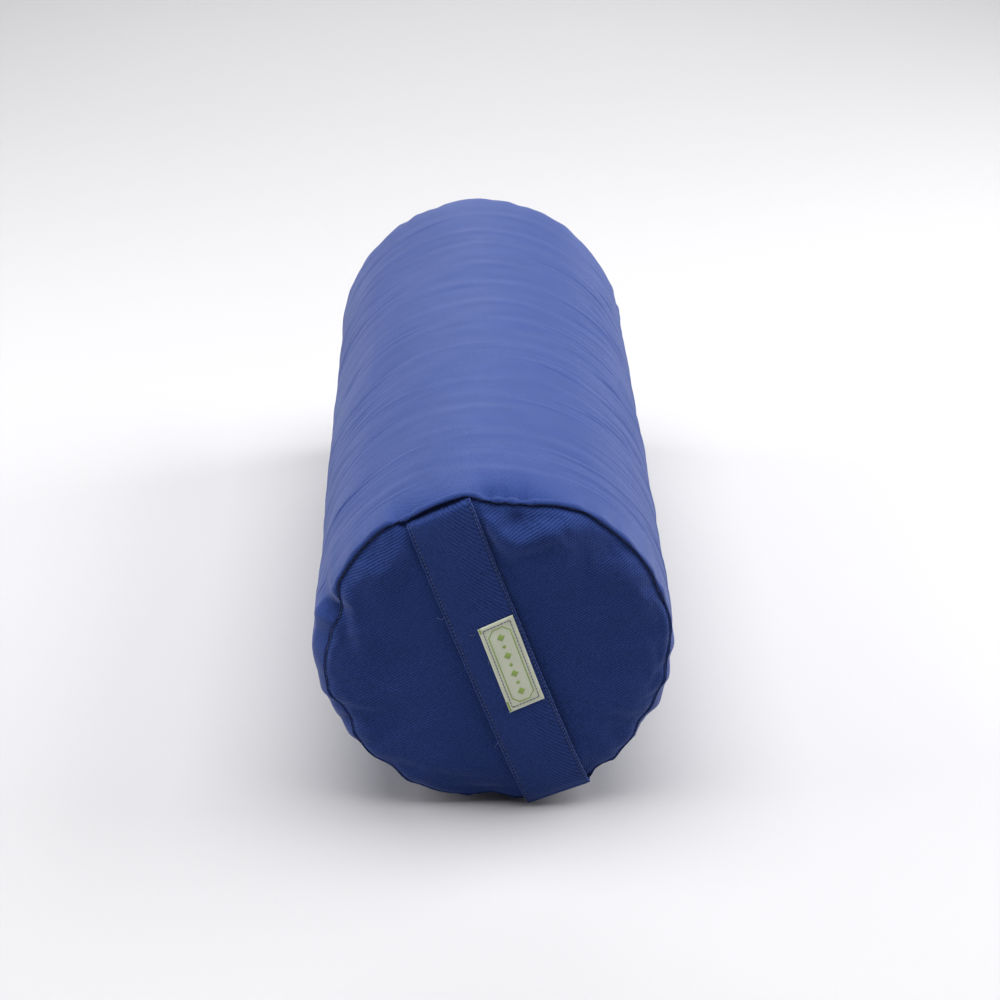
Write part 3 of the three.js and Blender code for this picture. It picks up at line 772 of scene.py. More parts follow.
def cover_side():
    """The side panel: a tube of twill rolled over a lip at each end, slit for the zipper."""
    half_slot = SLOT_HALF_WIDTH / RADIUS
    angle = ZIP_ANGLE + half_slot + np.linspace(0, 2 * math.pi - 2 * half_slot, SIDE_ROWS)
    front = lip_columns(angle, FRONT_SEAM, FRONT_GATHERS)
    rear = lip_columns(angle, REAR_SEAM, REAR_GATHERS)
    wall = np.arange(WALL_FROM, LENGTH - WALL_FROM + WALL_STEP / 2, WALL_STEP)
    radius = [r for r, _, _ in front]
    depth = [d for _, d, _ in front]
    for d in wall:
        pull = gather_depth(angle, front[-1][2] + d - WALL_FROM, FRONT_GATHERS, 3)
        pull += gather_depth(angle, rear[-1][2] + LENGTH - d - WALL_FROM, REAR_GATHERS, 3)
        radius.append(RADIUS - pull)
        depth.append(d + 0 * angle)
    radius += [r for r, _, _ in reversed(rear)]
    depth += [LENGTH - d for _, d, _ in reversed(rear)]
    radius, depth = np.array(radius).T, np.array(depth).T

    wall_share = np.clip((radius / RADIUS - 0.955) / 0.04, 0, 1)
    from_zip = np.abs(between(angle, ZIP_ANGLE))[:, None] * RADIUS
    calm = 1 - np.exp(-((from_zip / (16 * MM)) ** 2))
    on_floor = np.clip(1 - (np.sin(angle)[:, None] + 1) / 0.06, 0, 1)
    uneven = slow_waves(3, 9, 0.07, 0.20, 0.50 * MM)
    lumps = slow_waves(21, 14, 0.022, 0.05, 0.12 * MM)
    girth = angle[:, None] * RADIUS
    texture = crease_height(angle[:, None], depth) + uneven(girth, depth) + lumps(girth, depth)
    radius = radius + texture * wall_share * calm * (1 - on_floor)
    radius -= zipper_seam_depth(from_zip, depth)

    x, z = settle(radius, angle[:, None])
    for lip in (np.s_[:, :len(front)], np.s_[:, -len(rear):]):
        z[lip] = np.maximum(z[lip], CLOTH)
    points = np.stack([x, FRONT + depth, z], axis=2)
    uv = np.stack([np.broadcast_to(girth, depth.shape), cloth_length(radius, depth)], axis=2)
    wrap = uv[:1] + np.array([2 * math.pi * RADIUS, 0])
    beyond_slot = np.abs(FRONT + depth[0] - BODY_CENTRE) > SLOT_HALF_LENGTH
    keep = np.ones((SIDE_ROWS, depth.shape[1] - 1), bool)
    keep[-1] = beyond_slot[:-1] & beyond_slot[1:]
    piece = grid_object("cover_side", points, np.concatenate([uv, wrap]), "side", close_rows=True, keep=keep)
    thicken(turned(piece), CLOTH)
    return place(piece, "root", "cover_twill", "cover_side_panel")


def cloth_length(radius, depth):
    """Length along the cloth from lip to lip, evened out round the roll so that the weave runs straight."""
    along = np.cumsum(np.hypot(np.diff(radius, prepend=0), np.diff(depth, prepend=0)), axis=1)
    extra = along - depth
    extra -= extra[:, extra.shape[1] // 2, None]
    for reach in (12, 12, 6):
        extra = sum(np.roll(extra, shift, axis=0) for shift in range(-reach, reach + 1)) / (2 * reach + 1)
    return depth + extra


def zipper_seam_depth(from_zip, depth):
    """The cloth rolls down into the zipper slot, and lies in a plain seam groove beyond its ends."""
    beyond = np.clip((np.abs(FRONT + depth - BODY_CENTRE) - SLOT_HALF_LENGTH) / (6 * MM), 0, 1)
    roll = 0.9 * MM * np.exp(-(from_zip - SLOT_HALF_WIDTH) / (1.2 * MM))
    welt = -0.35 * MM * np.exp(-(((from_zip - 9 * MM) / (3.5 * MM)) ** 2))
    groove = 1.6 * MM * np.exp(-np.maximum(from_zip - SLOT_HALF_WIDTH, 0) / (2.5 * MM))
    return (roll + welt) * (1 - beyond) + groove * beyond


PANEL_CELLS = 72           # across an end panel
CLOTH_FRAMES = 26
SLACK = 0.014              # how much larger a panel is cut than its place
SLACK_LIMIT = 2.6 * MM


def panel_height(radius, angle, seam, gathers, folds, flip, seed):
    """How far an end panel stands in front of the lip plane."""
    from_seam = seam - radius
    hang = overhang(angle)
    dome = 3.0 * MM * (1 - (radius / RADIUS) ** 2)
    near_top = hang * np.exp(-((from_seam / (45 * MM)) ** 2))
    dome = dome + blend_of((4.6 * MM, 7.0 * MM), near_top) * (1 - np.exp(-from_seam / (17 * MM)))
    turn_in = 1.5 * MM * np.exp(-from_seam / (1.4 * MM))
    pull = gather_depth(angle, from_seam, gathers, 4) * blend_of((0.4, 0.8), hang)
    x, z = radius * np.cos(angle), radius * np.sin(angle)
    raised = 0
    for x0, z0, x1, z1, height, width in folds:
        start, step = np.array([x0, z0]) * MM, np.array([x1 - x0, z1 - z0]) * MM
        share = np.clip(((x - start[0]) * step[0] + (z - start[1]) * step[1]) / (step @ step), 0, 1)
        away = np.hypot(x - start[0] - share * step[0], z - start[1] - share * step[1]) / (width * MM)
        raised = raised + height * MM * np.exp(-(away ** 2)) * (0.55 + 0.45 * np.sin(math.pi * share))
    uneven = slow_waves(seed, 8, 0.05, 0.12, 0.5 * MM)(x * flip, z)
    return dome - turn_in - pull + (raised + uneven) * np.clip(from_seam / (9 * MM), 0, 1)


def disc_grid(cells):
    """Share of the radius and angle for an even square grid laid over a disc, [row, column]."""
    u, v = np.meshgrid(np.linspace(-1, 1, cells + 1), np.linspace(-1, 1, cells + 1), indexing="ij")
    wide = np.abs(u) >= np.abs(v)
    reach, other = np.where(wide, u, v), np.where(wide, v, u)
    turn = math.pi / 4 * other / np.where(reach == 0, 1, reach)
    x = np.where(wide, reach * np.cos(turn), reach * np.sin(turn))
    z = np.where(wide, reach * np.sin(turn), reach * np.cos(turn))
    return np.hypot(x, z), np.arctan2(z, x)


def slackened(points, faces, rim):
    """Cloth simulation: a panel cut larger than its seam outline and pinned there falls into folds."""
    mesh = bpy.data.meshes.new("slack_cloth")
    mesh.from_pydata(points.tolist(), [], faces)
    cloth = bpy.data.objects.new("slack_cloth", mesh)
    scene = bpy.context.scene
    scene.collection.objects.link(cloth)
    cloth.vertex_groups.new(name="seam").add(rim, 1.0, "REPLACE")
    modifier = cloth.modifiers.new("cloth", "CLOTH")
    settings = modifier.settings
    settings.vertex_group_mass = "seam"     # the pinned rim
    settings.shrink_min = -SLACK
    settings.quality = 8
    settings.mass = 0.15
    settings.tension_stiffness = 40
    settings.compression_stiffness = 40
    settings.shear_stiffness = 20
    settings.bending_stiffness = 0.08
    settings.use_pressure = True
    settings.uniform_pressure_force = 1.0
    settings.effector_weights.gravity = 0.0
    modifier.collision_settings.use_collision = False
    modifier.point_cache.frame_end = CLOTH_FRAMES
    for frame_number in range(1, CLOTH_FRAMES + 1):
        scene.frame_set(frame_number)
    evaluated = cloth.evaluated_get(bpy.context.evaluated_depsgraph_get())
    result = np.empty(points.size)
    evaluated.data.vertices.foreach_get("co", result)
    bpy.data.objects.remove(cloth)
    scene.frame_set(1)
    return result.reshape(points.shape)


def swell(share, slack):
    """The mean swelling at each share of the radius, which the filling's shape already gives."""
    ring = np.clip((share * 12).astype(int), 0, 11)
    means = np.bincount(ring, slack, 12) / np.bincount(ring, minlength=12)
    return np.interp(share * 12, np.arange(12) + 0.5, means)


def under_strap(x, z, height):
    """An end panel's height, pressed down where the strap lies over it."""
    across = (x - HANDLE_CENTRE_X) * math.cos(HANDLE_TILT) + z * math.sin(HANDLE_TILT)
    down = (x - HANDLE_CENTRE_X) * math.sin(HANDLE_TILT) - z * math.cos(HANDLE_TILT)
    covered = 1 - ramp_up(np.abs(across), HANDLE_HALF_WIDTH + MM, HANDLE_HALF_WIDTH + 6 * MM)
    ceiling = arch_height(down, across) - 0.5 * MM
    return height - np.maximum(height - ceiling, 0) * covered


# Rings of the panel's turned-in edge: out from the seam, and back. The last goes to the allowance's depth.
PANEL_EDGE = [
    (0.10 * MM, 1.0 * MM), (-0.10 * MM, 2.2 * MM), (-0.35 * MM, 3.6 * MM), (-0.35 * MM, ALLOWANCE_DEPTH),
]


def cover_panel(name, node, outline, gathers, folds, lip, facing, seed):
    """An end panel: a disc of twill, crowned by the filling and drawn into the seam by its gathers."""
    share, angle = disc_grid(PANEL_CELLS)
    side = PANEL_CELLS + 1
    share, angle = share.ravel(), angle.ravel()
    seam = seam_radius(angle, outline)
    edge = seam + blend_of((0.15 * MM, -EDGE_GAP), overhang(angle))
    radius = edge * share
    height = panel_height(radius, angle, edge, gathers, folds, facing, seed)

    index = np.arange(side * side).reshape(side, side)
    if facing < 0:
        index = index[:, ::-1]
    faces = np.stack([index[:-1, :-1], index[1:, :-1], index[1:, 1:], index[:-1, 1:]], axis=-1).reshape(-1, 4)
    rim = np.concatenate([index[0, :-1], index[:-1, -1], index[-1, :0:-1], index[:0:-1, 0]])
    x, z = radius * np.cos(angle), radius * np.sin(angle)
    sewn = np.stack([x, -facing * height, z], axis=1)
    loose = slackened(sewn, faces.tolist(), rim.tolist())
    slack = -facing * loose[:, 1] - height
    slack -= swell(share, slack)
    height = height + SLACK_LIMIT * np.tanh(slack / SLACK_LIMIT)
    x, z = loose[:, 0], loose[:, 2]
    if facing > 0:
        height = under_strap(x, z, height)

    rim_seam, rim_hang = seam[rim], overhang(angle[rim])
    rings_x, rings_z, rings_height = [x], [z], [height]
    for out, back in PANEL_EDGE:
        ring = rim_seam + blend_of((out, -EDGE_GAP), rim_hang)
        rings_x.append(ring * np.cos(angle[rim]))
        rings_z.append(ring * np.sin(angle[rim]))
        rings_height.append(height[rim] - back)
    rings_height[-1] = np.full(len(rim), -ALLOWANCE_DEPTH)
    last, count = rim, side * side
    for _ in PANEL_EDGE:
        ring = np.arange(count, count + len(rim))
        faces = np.concatenate([faces, np.stack([last, ring, np.roll(ring, -1), np.roll(last, -1)], axis=1)])
        last, count = ring, count + len(rim)
    x, z, height = (np.concatenate(parts) for parts in (rings_x, rings_z, rings_height))
    at_x, at_z = settle(np.hypot(x, z), np.arctan2(z, x))
    points = np.stack([at_x, lip - facing * height, at_z], axis=1)
    uv = np.stack([x, z], axis=1)[faces]
    piece = mesh_object(name, points, faces.tolist(), "end", uv)
    smooth = piece.modifiers.new("smooth", "SUBSURF")
    smooth.levels = smooth.render_levels = 1
    thicken(piece, CLOTH)
    return place(piece, "root", "end_panel_twill", node)


def fill_centre(piece, rows, columns):
    """Closes the small hole left at a disc's centre, which is the grid's last column."""
    bm = bmesh.new()
    bm.from_mesh(piece.data)
    bm.verts.ensure_lookup_table()
    rim = [bm.verts[r * columns + columns - 1] for r in range(rows)]
    face = bm.faces.new(rim)
    face.smooth = True
    layer = bm.loops.layers.uv[WEAVE]
    for loop in face.loops:
        loop[layer].uv = (loop.vert.co.x, loop.vert.co.z)
    bm.normal_update()
    neighbour = next(f for f in rim[0].link_faces if f is not face)
    if face.normal.dot(neighbour.normal) < 0:
        face.normal_flip()
    bm.to_mesh(piece.data)
    bm.free()


# ---- carry handle -------------------------------------------------------------------------------


def arch_height(t, w):
    """Height of the strap's underside over the lip plane, down into the seam at the upper end."""
    upper, lower = ARCH_FEET
    t = t + FOOT_SKEW * w * np.clip(t / upper, 0, 1)
    reach = np.where(
        t < ARCH_CREST_AT,
        (t - upper) / (ARCH_CREST_AT - upper),
        (lower - t) / (lower - ARCH_CREST_AT),
    )
    rise = np.sin(np.clip(reach, 0, 1) * math.pi / 2) ** ARCH_FULLNESS
    end = np.where(t < ARCH_CREST_AT, *ARCH_ENDS)
    return end + (ARCH_CREST - end) * rise - np.maximum(upper - t, 0) * 3


def strap_point(t, w, lift=0.0):
    """Row-frame point of the strap: t down its length, w across it, lift over its underside."""
    t, w, lift = np.broadcast_arrays(np.asarray(t, float), np.asarray(w, float), np.asarray(lift, float))
    past = np.maximum(t - HANDLE_CURL_AT, 0)
    turn = np.minimum(past / HANDLE_CURL_RADIUS, math.pi / 2)
    straight = np.maximum(past - HANDLE_CURL_RADIUS * math.pi / 2, 0)
    reach = HANDLE_CURL_RADIUS + lift
    t = np.minimum(t, HANDLE_CURL_AT)
    height = arch_height(t, w) - HANDLE_CURL_RADIUS + reach * np.cos(turn) - straight
    t = t + reach * np.sin(turn)
    x = HANDLE_CENTRE_X + w * math.cos(HANDLE_TILT) + t * math.sin(HANDLE_TILT)
    z = AXIS_HEIGHT + w * math.sin(HANDLE_TILT) - t * math.cos(HANDLE_TILT)
    return np.stack([x, FRONT - height, z], axis=-1)


def strap_section():
    """Closed outline (w, lift) of the folded strap: rounded edges, and a groove under each stitch row."""
    edge = HANDLE_HALF_WIDTH
    round_over = [(0, 0.5), (0.25, 0.86), (0.8, 1.0)]
    left = [(-edge + w * MM, share) for w, share in round_over]
    face = [edge / MM - from_edge for from_edge in (1.2, 2.0, 2.7, 3.6, 6, 10, 16)]
    top = [-w for w in face] + [0.0] + face[::-1]
    outline = left + [(w * MM, 1.0) for w in top] + [(-w, share) for w, share in reversed(left)]
    upper = []
    for w, share in outline:
        groove = sum(math.exp(-(((w - row) / (0.55 * MM)) ** 2)) for row in STITCH_ROWS)
        crown = 0.3 * MM * (1 - (w / edge) ** 2)
        upper.append((w, HANDLE_THICKNESS * share + (crown - 0.4 * MM * groove) * (share == 1.0)))
    lower = [(w, HANDLE_THICKNESS * (1 - share)) for w, share in reversed(outline[1:-1])]
    return np.array(upper + lower)


def strap_piece(name, t0, t1, uneven):
    section = strap_section()
    joined = [t for t in (t0, t1) if t in GRIP_ENDS]
    stations = np.linspace(t0, t1, max(2, int((t1 - t0) / (1.6 * MM))))
    if t1 > HANDLE_CURL_AT:
        curl = np.linspace(HANDLE_CURL_AT, t1, 14)
        stations = np.concatenate([stations[stations < HANDLE_CURL_AT - 0.5 * MM], curl])
    for joint in joined:
        stations = np.append(stations, joint + JOINT_LAP * (1 if joint == t1 else -1))
    stations.sort()
    w, lift = section[:, 0][:, None], section[:, 1][:, None]
    t = stations[None, :]
    shrink = np.zeros_like(t)
    for joint in joined:
        shrink[np.abs(t - joint) < 1e-9] = 0.5
        shrink[(t < t0 - 1e-9) | (t > t1 + 1e-9)] = 1
    middle = HANDLE_THICKNESS / 2
    lift = middle + (lift - middle) * (1 - 0.08 * shrink)
    w = w * (1 - 0.006 * shrink)
    points = strap_point(t, w, lift + uneven(w, t))
    around = np.concatenate([w, w[:1]]) + 0 * t
    uv = np.stack(np.broadcast_arrays(around, t), axis=2)
    piece = grid_object(name, points[::-1], uv[::-1], "strap", close_rows=True, caps=True)
    return piece


def strap_stitches(name, t0, t1, uneven):
    """Both topstitch rows of one stretch of the strap."""
    first, last = math.ceil(t0 / STITCH_PITCH), math.floor((t1 - 0.001 * MM) / STITCH_PITCH)
    t = np.arange(first, last + 1) * STITCH_PITCH
    centres, along = [], []
    for w in STITCH_ROWS:
        lift = HANDLE_THICKNESS - 0.02 * MM
        centres.append(strap_point(t, w, lift + uneven(w, t)))
        along.append(strap_point(t + MM, w, lift) - strap_point(t - MM, w, lift))
    centres, along = np.concatenate(centres), np.concatenate(along)
    out = np.tile([0.0, -1.0, 0.0], (len(centres), 1))
    return stitch_row(name, centres, along, out, 2.3 * MM, 0.5 * MM)


def add_handle():
    uneven = slow_waves(8, 7, 0.03, 0.08, 0.22 * MM)
    pieces = [
        ("handle_upper_tail", HANDLE_ENDS[0], GRIP_ENDS[0], HANDLE_BLENDS[0]),
        ("handle_grip", GRIP_ENDS[0], GRIP_ENDS[1], None),
        ("handle_lower_tail", GRIP_ENDS[1], HANDLE_ENDS[1], HANDLE_BLENDS[1]),
    ]
    for node, t0, t1, blend in pieces:
        strap = strap_piece(node.replace("handle", "strap"), t0, t1, uneven)
        first, last = max(t0, STITCHED[0]), min(t1, STITCHED[1])
        stitches = strap_stitches(node.replace("handle", "stitches"), first, last, uneven)
        for piece in (strap, stitches):
            if blend:
                start, end = (Vector(strap_point(t, 0.0)) for t in blend)
                end.y = start.y
                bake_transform(piece)
            else:
                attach(piece, "handle")
        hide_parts(node)
        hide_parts(f"{node}_thread_left", f"{node}_thread_right")
    add_label(uneven)
    add_loose_ends()


# ---- label --------------------------------------------------------------------------------------

LABEL_TOP = -29.8 * MM
LABEL_BOTTOM = 39.6 * MM
LABEL_LEFT = -6.3 * MM
LABEL_RIGHT = 20.5 * MM
LABEL_THICKNESS = 0.5 * MM
LABEL_LIFT = HANDLE_THICKNESS + 0.55 * MM
LABEL_SKEW = (0.07, 0.028) # it was sewn on slightly out of square: down for each across, across for each down


def label_point(t, w, lift, uneven):
    """A point of the label, a little out of square with the strap and curling at its corners."""
    middle_t, middle_w = (LABEL_TOP + LABEL_BOTTOM) / 2, (LABEL_LEFT + LABEL_RIGHT) / 2
    dt, dw = t - middle_t, w - middle_w
    turned_t, turned_w = middle_t + dt - LABEL_SKEW[0] * dw, middle_w + dw - LABEL_SKEW[1] * dt
    corner = (np.abs(dt) / (35.5 * MM)) ** 8 * (np.abs(dw) / (13.5 * MM)) ** 8
    return strap_point(turned_t, turned_w, LABEL_LIFT + lift + 0.5 * MM * corner + uneven(turned_w, turned_t))


def label_strip(points, width):
    """Quads of a flat line of this width through points (t, w), for the label's woven pattern."""
    quads = []
    for (t0, w0), (t1, w1) in zip(points[:-1], points[1:]):
        direction = np.array([t1 - t0, w1 - w0])
        direction /= np.linalg.norm(direction)
        side = np.array([-direction[1], direction[0]]) * width / 2
        a, b = np.array([t0, w0]) - direction * width / 2, np.array([t1, w1]) + direction * width / 2
        quads.append([a - side, b - side, b + side, a + side])
    return quads


def add_label(uneven):
    rows, columns = 19, 45
    across = np.linspace(LABEL_LEFT, LABEL_RIGHT, rows)
    w, t = np.meshgrid(across, np.linspace(LABEL_TOP, LABEL_BOTTOM, columns), indexing="ij")
    points = label_point(t, w, LABEL_THICKNESS, uneven)
    label = grid_object("label_woven", points[::-1], np.stack([w, t], axis=2)[::-1], "label")
    thicken(label, LABEL_THICKNESS)
    place(label, "handle", "label_cloth", "label")

    quads = []
    inset, chamfer = 5.2 * MM, 4.4 * MM
    top, bottom = LABEL_TOP + inset, LABEL_BOTTOM - inset
    left, right = LABEL_LEFT + inset, LABEL_RIGHT - inset
    frame_line = [
        (top + chamfer, left), (top, left + chamfer), (top, right - chamfer), (top + chamfer, right),
        (bottom - chamfer, right), (bottom, right - chamfer), (bottom, left + chamfer),
        (bottom - chamfer, left), (top + chamfer, left),
    ]
    quads += label_strip(frame_line, 0.75 * MM)
    middle = (left + right) / 2
    for index in range(7):
        centre = top + (bottom - top) * (index + 1) / 8
        size = 3.0 * MM if index % 2 == 0 else 1.6 * MM
        diamond = ((-size, 0), (0, size), (size, 0), (0, -size))
        quads.append([np.array([centre + down, middle + across]) for down, across in diamond])
    for start, end, across in (
        (LABEL_TOP + 0.6 * MM, LABEL_TOP + 3.4 * MM, LABEL_LEFT + 1.2 * MM),
        (LABEL_BOTTOM - 8.0 * MM, LABEL_BOTTOM - 1.2 * MM, LABEL_LEFT + 1.0 * MM),
    ):
        quads += label_strip([(start, across), (end, across)], 1.3 * MM)
    pattern = quads_object("label_pattern", quads, uneven)
    place(pattern, "handle", "label_cloth")

    add_label_stitches(uneven)


def quads_object(name, quads, uneven):
    """Raised woven figures on the label: each quad is divided so that it follows the curved strap."""
    vertices, faces = [], []
    parts = 6
    for a, b, c, d in quads:
        for part in range(parts + 1):
            share = part / parts
            vertices += [a + (b - a) * share, d + (c - d) * share]
        base = len(vertices) - 2 * (parts + 1)
        faces += [(base + 2 * i, base + 2 * i + 2, base + 2 * i + 3, base + 2 * i + 1) for i in range(parts)]
    flat = np.array(vertices)
    points = label_point(flat[:, 0], flat[:, 1], LABEL_THICKNESS + 0.12 * MM, uneven)
    piece = mesh_object(name, points, faces, "label_green")
    return thicken(piece, 0.14 * MM, 0)


def add_label_stitches(uneven):
    """Dark stitches round the label, close to its edge."""
    inset, pitch = 3.0 * MM, 2.6 * MM
    corners = [
        (LABEL_TOP + inset, LABEL_LEFT + inset), (LABEL_TOP + inset, LABEL_RIGHT - inset),
        (LABEL_BOTTOM - inset, LABEL_RIGHT - inset), (LABEL_BOTTOM - inset, LABEL_LEFT + inset),
    ]
    centres, along = [], []
    for (t0, w0), (t1, w1) in zip(corners, corners[1:] + corners[:1]):
        count = round(math.hypot(t1 - t0, w1 - w0) / pitch)
        for share in (np.arange(count) + 0.5) / count:
            before, at, after = (
                label_point(t0 + (t1 - t0) * s, w0 + (w1 - w0) * s, LABEL_THICKNESS + 0.12 * MM, uneven)
                for s in (share - 0.02, share, share + 0.02)
            )
            centres.append(at)
            along.append(after - before)
    out = np.tile([0.0, -1.0, 0.0], (len(centres), 1))
    stitches = stitch_row("label_stitches", centres, along, out, 2.5 * MM, 0.55 * MM, "navy_thread")
    place(stitches, "handle", "label_thread", "label_thread")


def add_loose_ends():
    """Thread tails left at the strap's left edge and at a corner of the label."""
    tails = [(-45, -24.2, -4.2, -2.0), (61, -24.2, -3.6, 2.6), (-26, -8.0, -4.6, -1.0), (-3, -7.0, -0.6, 2.4)]
    for index, (t, w, reach_w, reach_t) in enumerate(tails):
        share = np.linspace(0, 1, 9)
        path = strap_point(
            (t + reach_t * share ** 2) * MM, (w + reach_w * share) * MM,
            HANDLE_THICKNESS + (0.3 + 1.6 * np.sin(share * math.pi) * (1 - 0.4 * share)) * MM,
        )
        tail = tube_object(f"thread_tail_{index + 1}", path, 0.22 * MM, "thread", sides=5)
        place(tail, "handle", "sewing_thread")


# ---- zipper -------------------------------------------------------------------------------------


def zip_point(across, out, y):
    """Row-frame point at the zipper: across it, out from the cover's outside, along the roll."""
    facet = 2 * math.pi / 48
    x0, z0 = settle(RADIUS, ZIP_ANGLE - facet / 2)
    x1, z1 = settle(RADIUS, ZIP_ANGLE + facet / 2)
    middle = np.array([(x0 + x1) / 2, 0, (z0 + z1) / 2])
    along = np.array([x1 - x0, 0, z1 - z0])
    along /= np.linalg.norm(along)
    normal = np.array([along[2], 0, -along[0]])
    across, out, y = np.broadcast_arrays(*(np.asarray(a, float) for a in (across, out, y)))
    return middle + across[..., None] * along + out[..., None] * normal + y[..., None] * np.array([0, 1.0, 0])


TAPE_EDGES = (0.4 * MM, 14 * MM)       # from the zipper's centre line
TAPE_DEPTH = 1.45 * MM
COIL_PITCH = 1.3 * MM
COIL_CENTRE = 1.35 * MM
COIL_HALF_WIDTH = 1.45 * MM
COIL_HALF_HEIGHT = 0.62 * MM
ZIP_STITCHES_AT = 6.4 * MM
ZIP_STITCH_PITCH = 3.2 * MM


def add_zipper():
    for word, side in (("upper", 1), ("lower", -1)):
        low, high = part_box(f"zipper_tape_{word}")
        inner, outer = TAPE_EDGES
        across = np.sort(side * np.linspace(inner, outer, 7))
        drop = across ** 2 / (2 * RADIUS)
        y = np.linspace(low.y, high.y, 90)
        points = zip_point(across[:, None], -TAPE_DEPTH - drop[:, None], y[None, :])
        uv = np.stack(np.broadcast_arrays(across[:, None], y[None, :]), axis=2)
        tape = grid_object(f"zip_tape_{word}", points[::-1], uv[::-1], "tape")
        thicken(tape, 0.45 * MM)
        place(tape, "root", "zipper_tape", f"zipper_tape_{word}")

        low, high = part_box(f"zipper_coil_{word}")
        turns = int((high.y - low.y) / COIL_PITCH)
        phase = np.arange(turns * 10) * 2 * math.pi / 10
        y = low.y + 0.4 * MM + phase / (2 * math.pi) * COIL_PITCH + (0 if side > 0 else COIL_PITCH / 2)
        across = side * (COIL_CENTRE - COIL_HALF_WIDTH * np.cos(phase))
        path = zip_point(across, COIL_HALF_HEIGHT * np.sin(phase), y)
        coil = tube_object(f"zip_coil_{word}", path[y < high.y - 0.2 * MM], 0.30 * MM, "nylon", sides=5)
        place(coil, "root", "zipper_coil", f"zipper_coil_{word}")

    y = np.arange(-SLOT_HALF_LENGTH - 4 * MM, SLOT_HALF_LENGTH + 4 * MM, ZIP_STITCH_PITCH) + BODY_CENTRE
    for word, side in (("upper", 1), ("lower", -1)):
        centres = zip_point(side * ZIP_STITCHES_AT, 0.05 * MM, y)
        along = np.tile([0.0, 1.0, 0.0], (len(y), 1))
        out = zip_point(0, 1, y) - zip_point(0, 0, y)
        row = stitch_row(f"zip_stitches_{word}", centres, along, out, 2.5 * MM, 0.6 * MM)
        place(row, "root", "sewing_thread")

    for node in ("zipper_slider", "zipper_pull", "zipper_top_stop_upper", "zipper_top_stop_lower",
                 "zipper_bottom_stop"):
        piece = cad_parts[node]
        piece.data.materials.clear()
        piece.data.materials.append(PAINT["metal"])
        bevel = piece.modifiers.new("worn_edges", "BEVEL")
        bevel.width = 0.18 * MM
        bevel.segments = 2
        bevel.limit_method = "ANGLE"


# ---- insert and seam threads, inside the cover --------------------------------------------------


OVERLOCK_TURNS = 210


def add_seam_thread(name, node, outline):
    """Overlock thread whipped round the two seam allowances."""
    low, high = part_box(node)
    middle = (low.y + high.y) / 2
    phase = np.arange(OVERLOCK_TURNS * 6) * 2 * math.pi / 6
    angle = phase / OVERLOCK_TURNS
    radius = seam_radius(angle, outline) + 0.9 * MM * np.cos(phase)
    x, z = settle(radius, angle)
    path = np.stack([x, middle + 0.5 * MM * np.sin(phase), z], axis=1)
    thread = tube_object(name, path, 0.2 * MM, "thread", sides=4, close=True)
    place(thread, "root", "sewing_thread", node)


LINER_SEAM = 98 * MM        # radius of its end seams
LINER_SHOULDER = 36 * MM    # how far its ends are rounded


def add_liner():
    seam, depth = LINER_SEAM, LINER_SHOULDER
    outer = RADIUS - INSERT_INSET
    rows = 128
    angle = np.arange(rows) * 2 * math.pi / rows
    arc = np.linspace(0, math.pi / 2, 9)
    front_r, front_y = seam + (outer - seam) * np.sin(arc), depth - (depth - 5.1 * MM) * np.cos(arc)
    wall = np.linspace(depth + 8 * MM, LENGTH - depth - 8 * MM, 70)
    radius = np.concatenate([front_r, np.full(len(wall), outer), front_r[::-1]])
    y = np.concatenate([front_y, wall, LENGTH - front_y[::-1]])
    wrinkle = slow_waves(31, 10, 0.03, 0.09, 0.25 * MM)
    girth = angle[:, None] * outer
    x, z = settle(radius[None] - 0.4 * MM + wrinkle(girth, y[None]), angle[:, None], INSERT_INSET)
    points = np.stack([x, FRONT + np.broadcast_to(y, x.shape), z], axis=2)
    uv = np.stack(np.broadcast_arrays(np.append(angle, 2 * math.pi)[:, None] * outer, y[None]), axis=2)
    side = grid_object("liner_side", points, uv, "muslin", close_rows=True)
    thicken(turned(side), LINER_CLOTH)
    place(side, "root", "liner_cotton", "liner_side_panel")

    for name, node, lip, facing in (("liner_front", "liner_front_panel", FRONT, 1),
                                    ("liner_rear", "liner_rear_panel", REAR, -1)):
        share = np.linspace(0.005, 1, 24)
        radius = (seam - 0.6 * MM) * share[None] + 0 * angle[:, None]
        inward = 1.6 * MM + 3.6 * MM * share[None] ** 2.4 + wrinkle(radius, angle[:, None] * seam)
        x, z = settle(radius, angle[:, None])
        points = np.stack([x, lip + facing * (inward - 2.6 * MM), z], axis=2)
        uv = np.stack([x, z], axis=2)
        uv = np.concatenate([uv, uv[:1]])
        if facing < 0:
            points, uv = points[::-1], uv[::-1]
        panel = grid_object(name, points[:, ::-1], uv[:, ::-1], "muslin", close_rows=True)
        fill_centre(panel, rows, len(share))
        thicken(panel, LINER_CLOTH)
        place(panel, "root", "liner_cotton", node)


BATT_TURNS = 5
BATT_PITCH = 22 * MM
BATT_INSET = 4.4 * MM


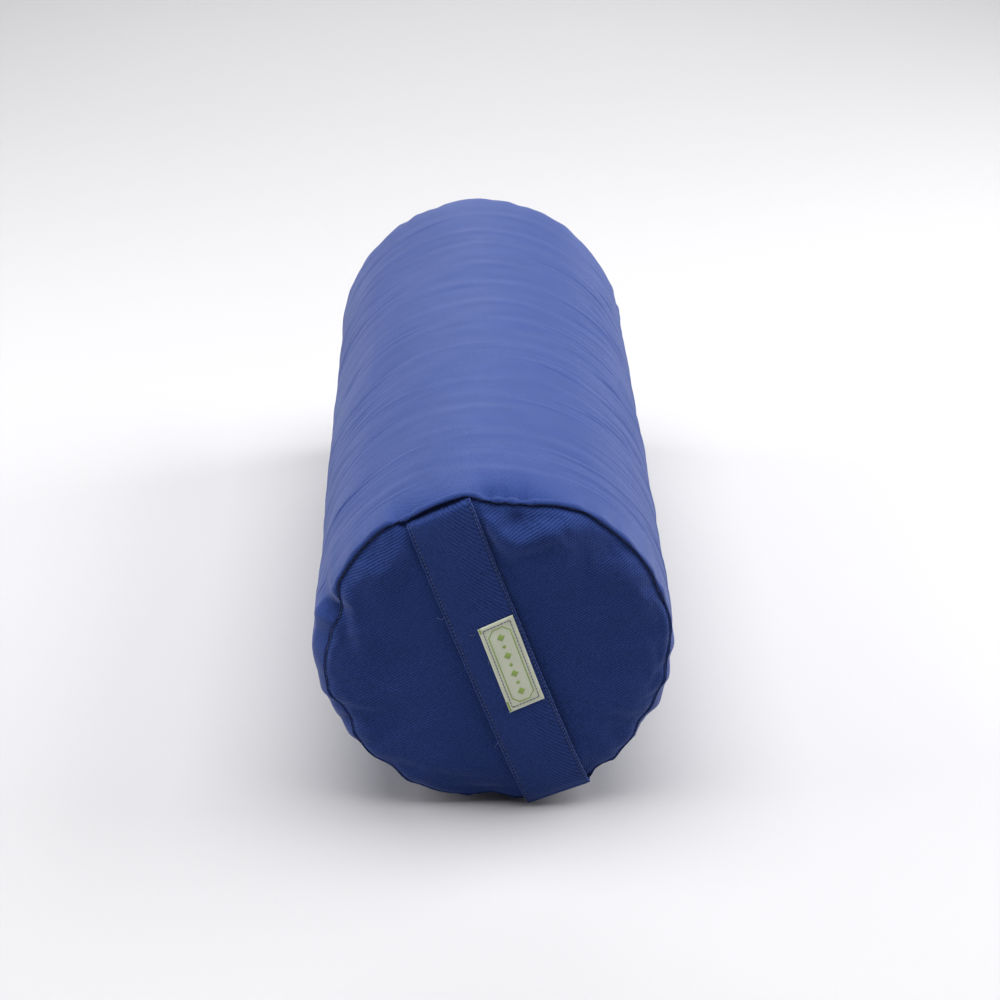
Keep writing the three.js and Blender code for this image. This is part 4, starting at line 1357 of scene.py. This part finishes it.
def add_batt():
    """One long batt wound into a roll, feathered at both ends of its length."""
    low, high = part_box("batting_roll")
    outer = RADIUS - BATT_INSET
    phase = np.linspace(0.35, BATT_TURNS * 2 * math.pi, BATT_TURNS * 40)
    share = phase / (2 * math.pi)
    thickness = np.minimum(BATT_PITCH - 0.8 * MM, BATT_PITCH * share)
    top = outer - BATT_PITCH * np.maximum(share - 1, 0)
    y = np.concatenate([[0, 12], np.linspace(30, 612, 36), [630, 642]]) * MM + low.y
    end = np.abs(y - (low.y + high.y) / 2) / ((high.y - low.y) / 2)
    scale = 1 - 0.19 * np.clip((end - 0.91) / 0.09, 0, 1)
    lumps = slow_waves(41, 12, 0.02, 0.06, 0.5 * MM)
    path = []
    for radius in (top, top - thickness):
        rough = lumps(phase[:, None] * 0.1, y[None]) * (radius[:, None] < outer - MM)
        x, z = settle(radius[:, None] - np.abs(rough), phase[:, None], 4.6 * MM)
        z = AXIS_HEIGHT + (z - AXIS_HEIGHT) * scale
        path.append(np.stack([x * scale, np.broadcast_to(y, x.shape), z], axis=2))
    points = np.concatenate([path[0], path[1][::-1]])
    around = np.linspace(0, 1, len(points) + 1)
    uv = np.stack(np.broadcast_arrays(around[:, None], y[None]), axis=2)
    batt = grid_object("batting_roll_fibre", points, uv, "batt", close_rows=True)
    close_spiral_ends(batt, len(phase), len(y))
    place(batt, "root", "cotton_batting", "batting_roll")


def close_spiral_ends(piece, count, columns):
    """Faces between the batt's outer and inner side at both ends of the roll."""
    bm = bmesh.new()
    bm.from_mesh(piece.data)
    bm.verts.ensure_lookup_table()
    rows = 2 * count
    for column in (0, columns - 1):
        for k in range(count - 1):
            ring = [k, k + 1, rows - 2 - k, rows - 1 - k]
            corners = [bm.verts[r * columns + column] for r in ring]
            bm.faces.new(corners)
    bmesh.ops.recalc_face_normals(bm, faces=bm.faces)
    bm.to_mesh(piece.data)
    bm.free()


# ---- build --------------------------------------------------------------------------------------

add_camera()
add_stage()
cover_side()
cover_panel("cover_front", "cover_front_panel", FRONT_SEAM, FRONT_GATHERS, FRONT_FOLDS, FRONT, 1, 13)
cover_panel("cover_rear", "cover_rear_panel", REAR_SEAM, REAR_GATHERS, [], REAR, -1, 17)
add_handle()
add_zipper()
add_seam_thread("overlock_front", "seam_thread_front", FRONT_SEAM)
add_seam_thread("overlock_rear", "seam_thread_rear", REAR_SEAM)
add_liner()
add_batt()
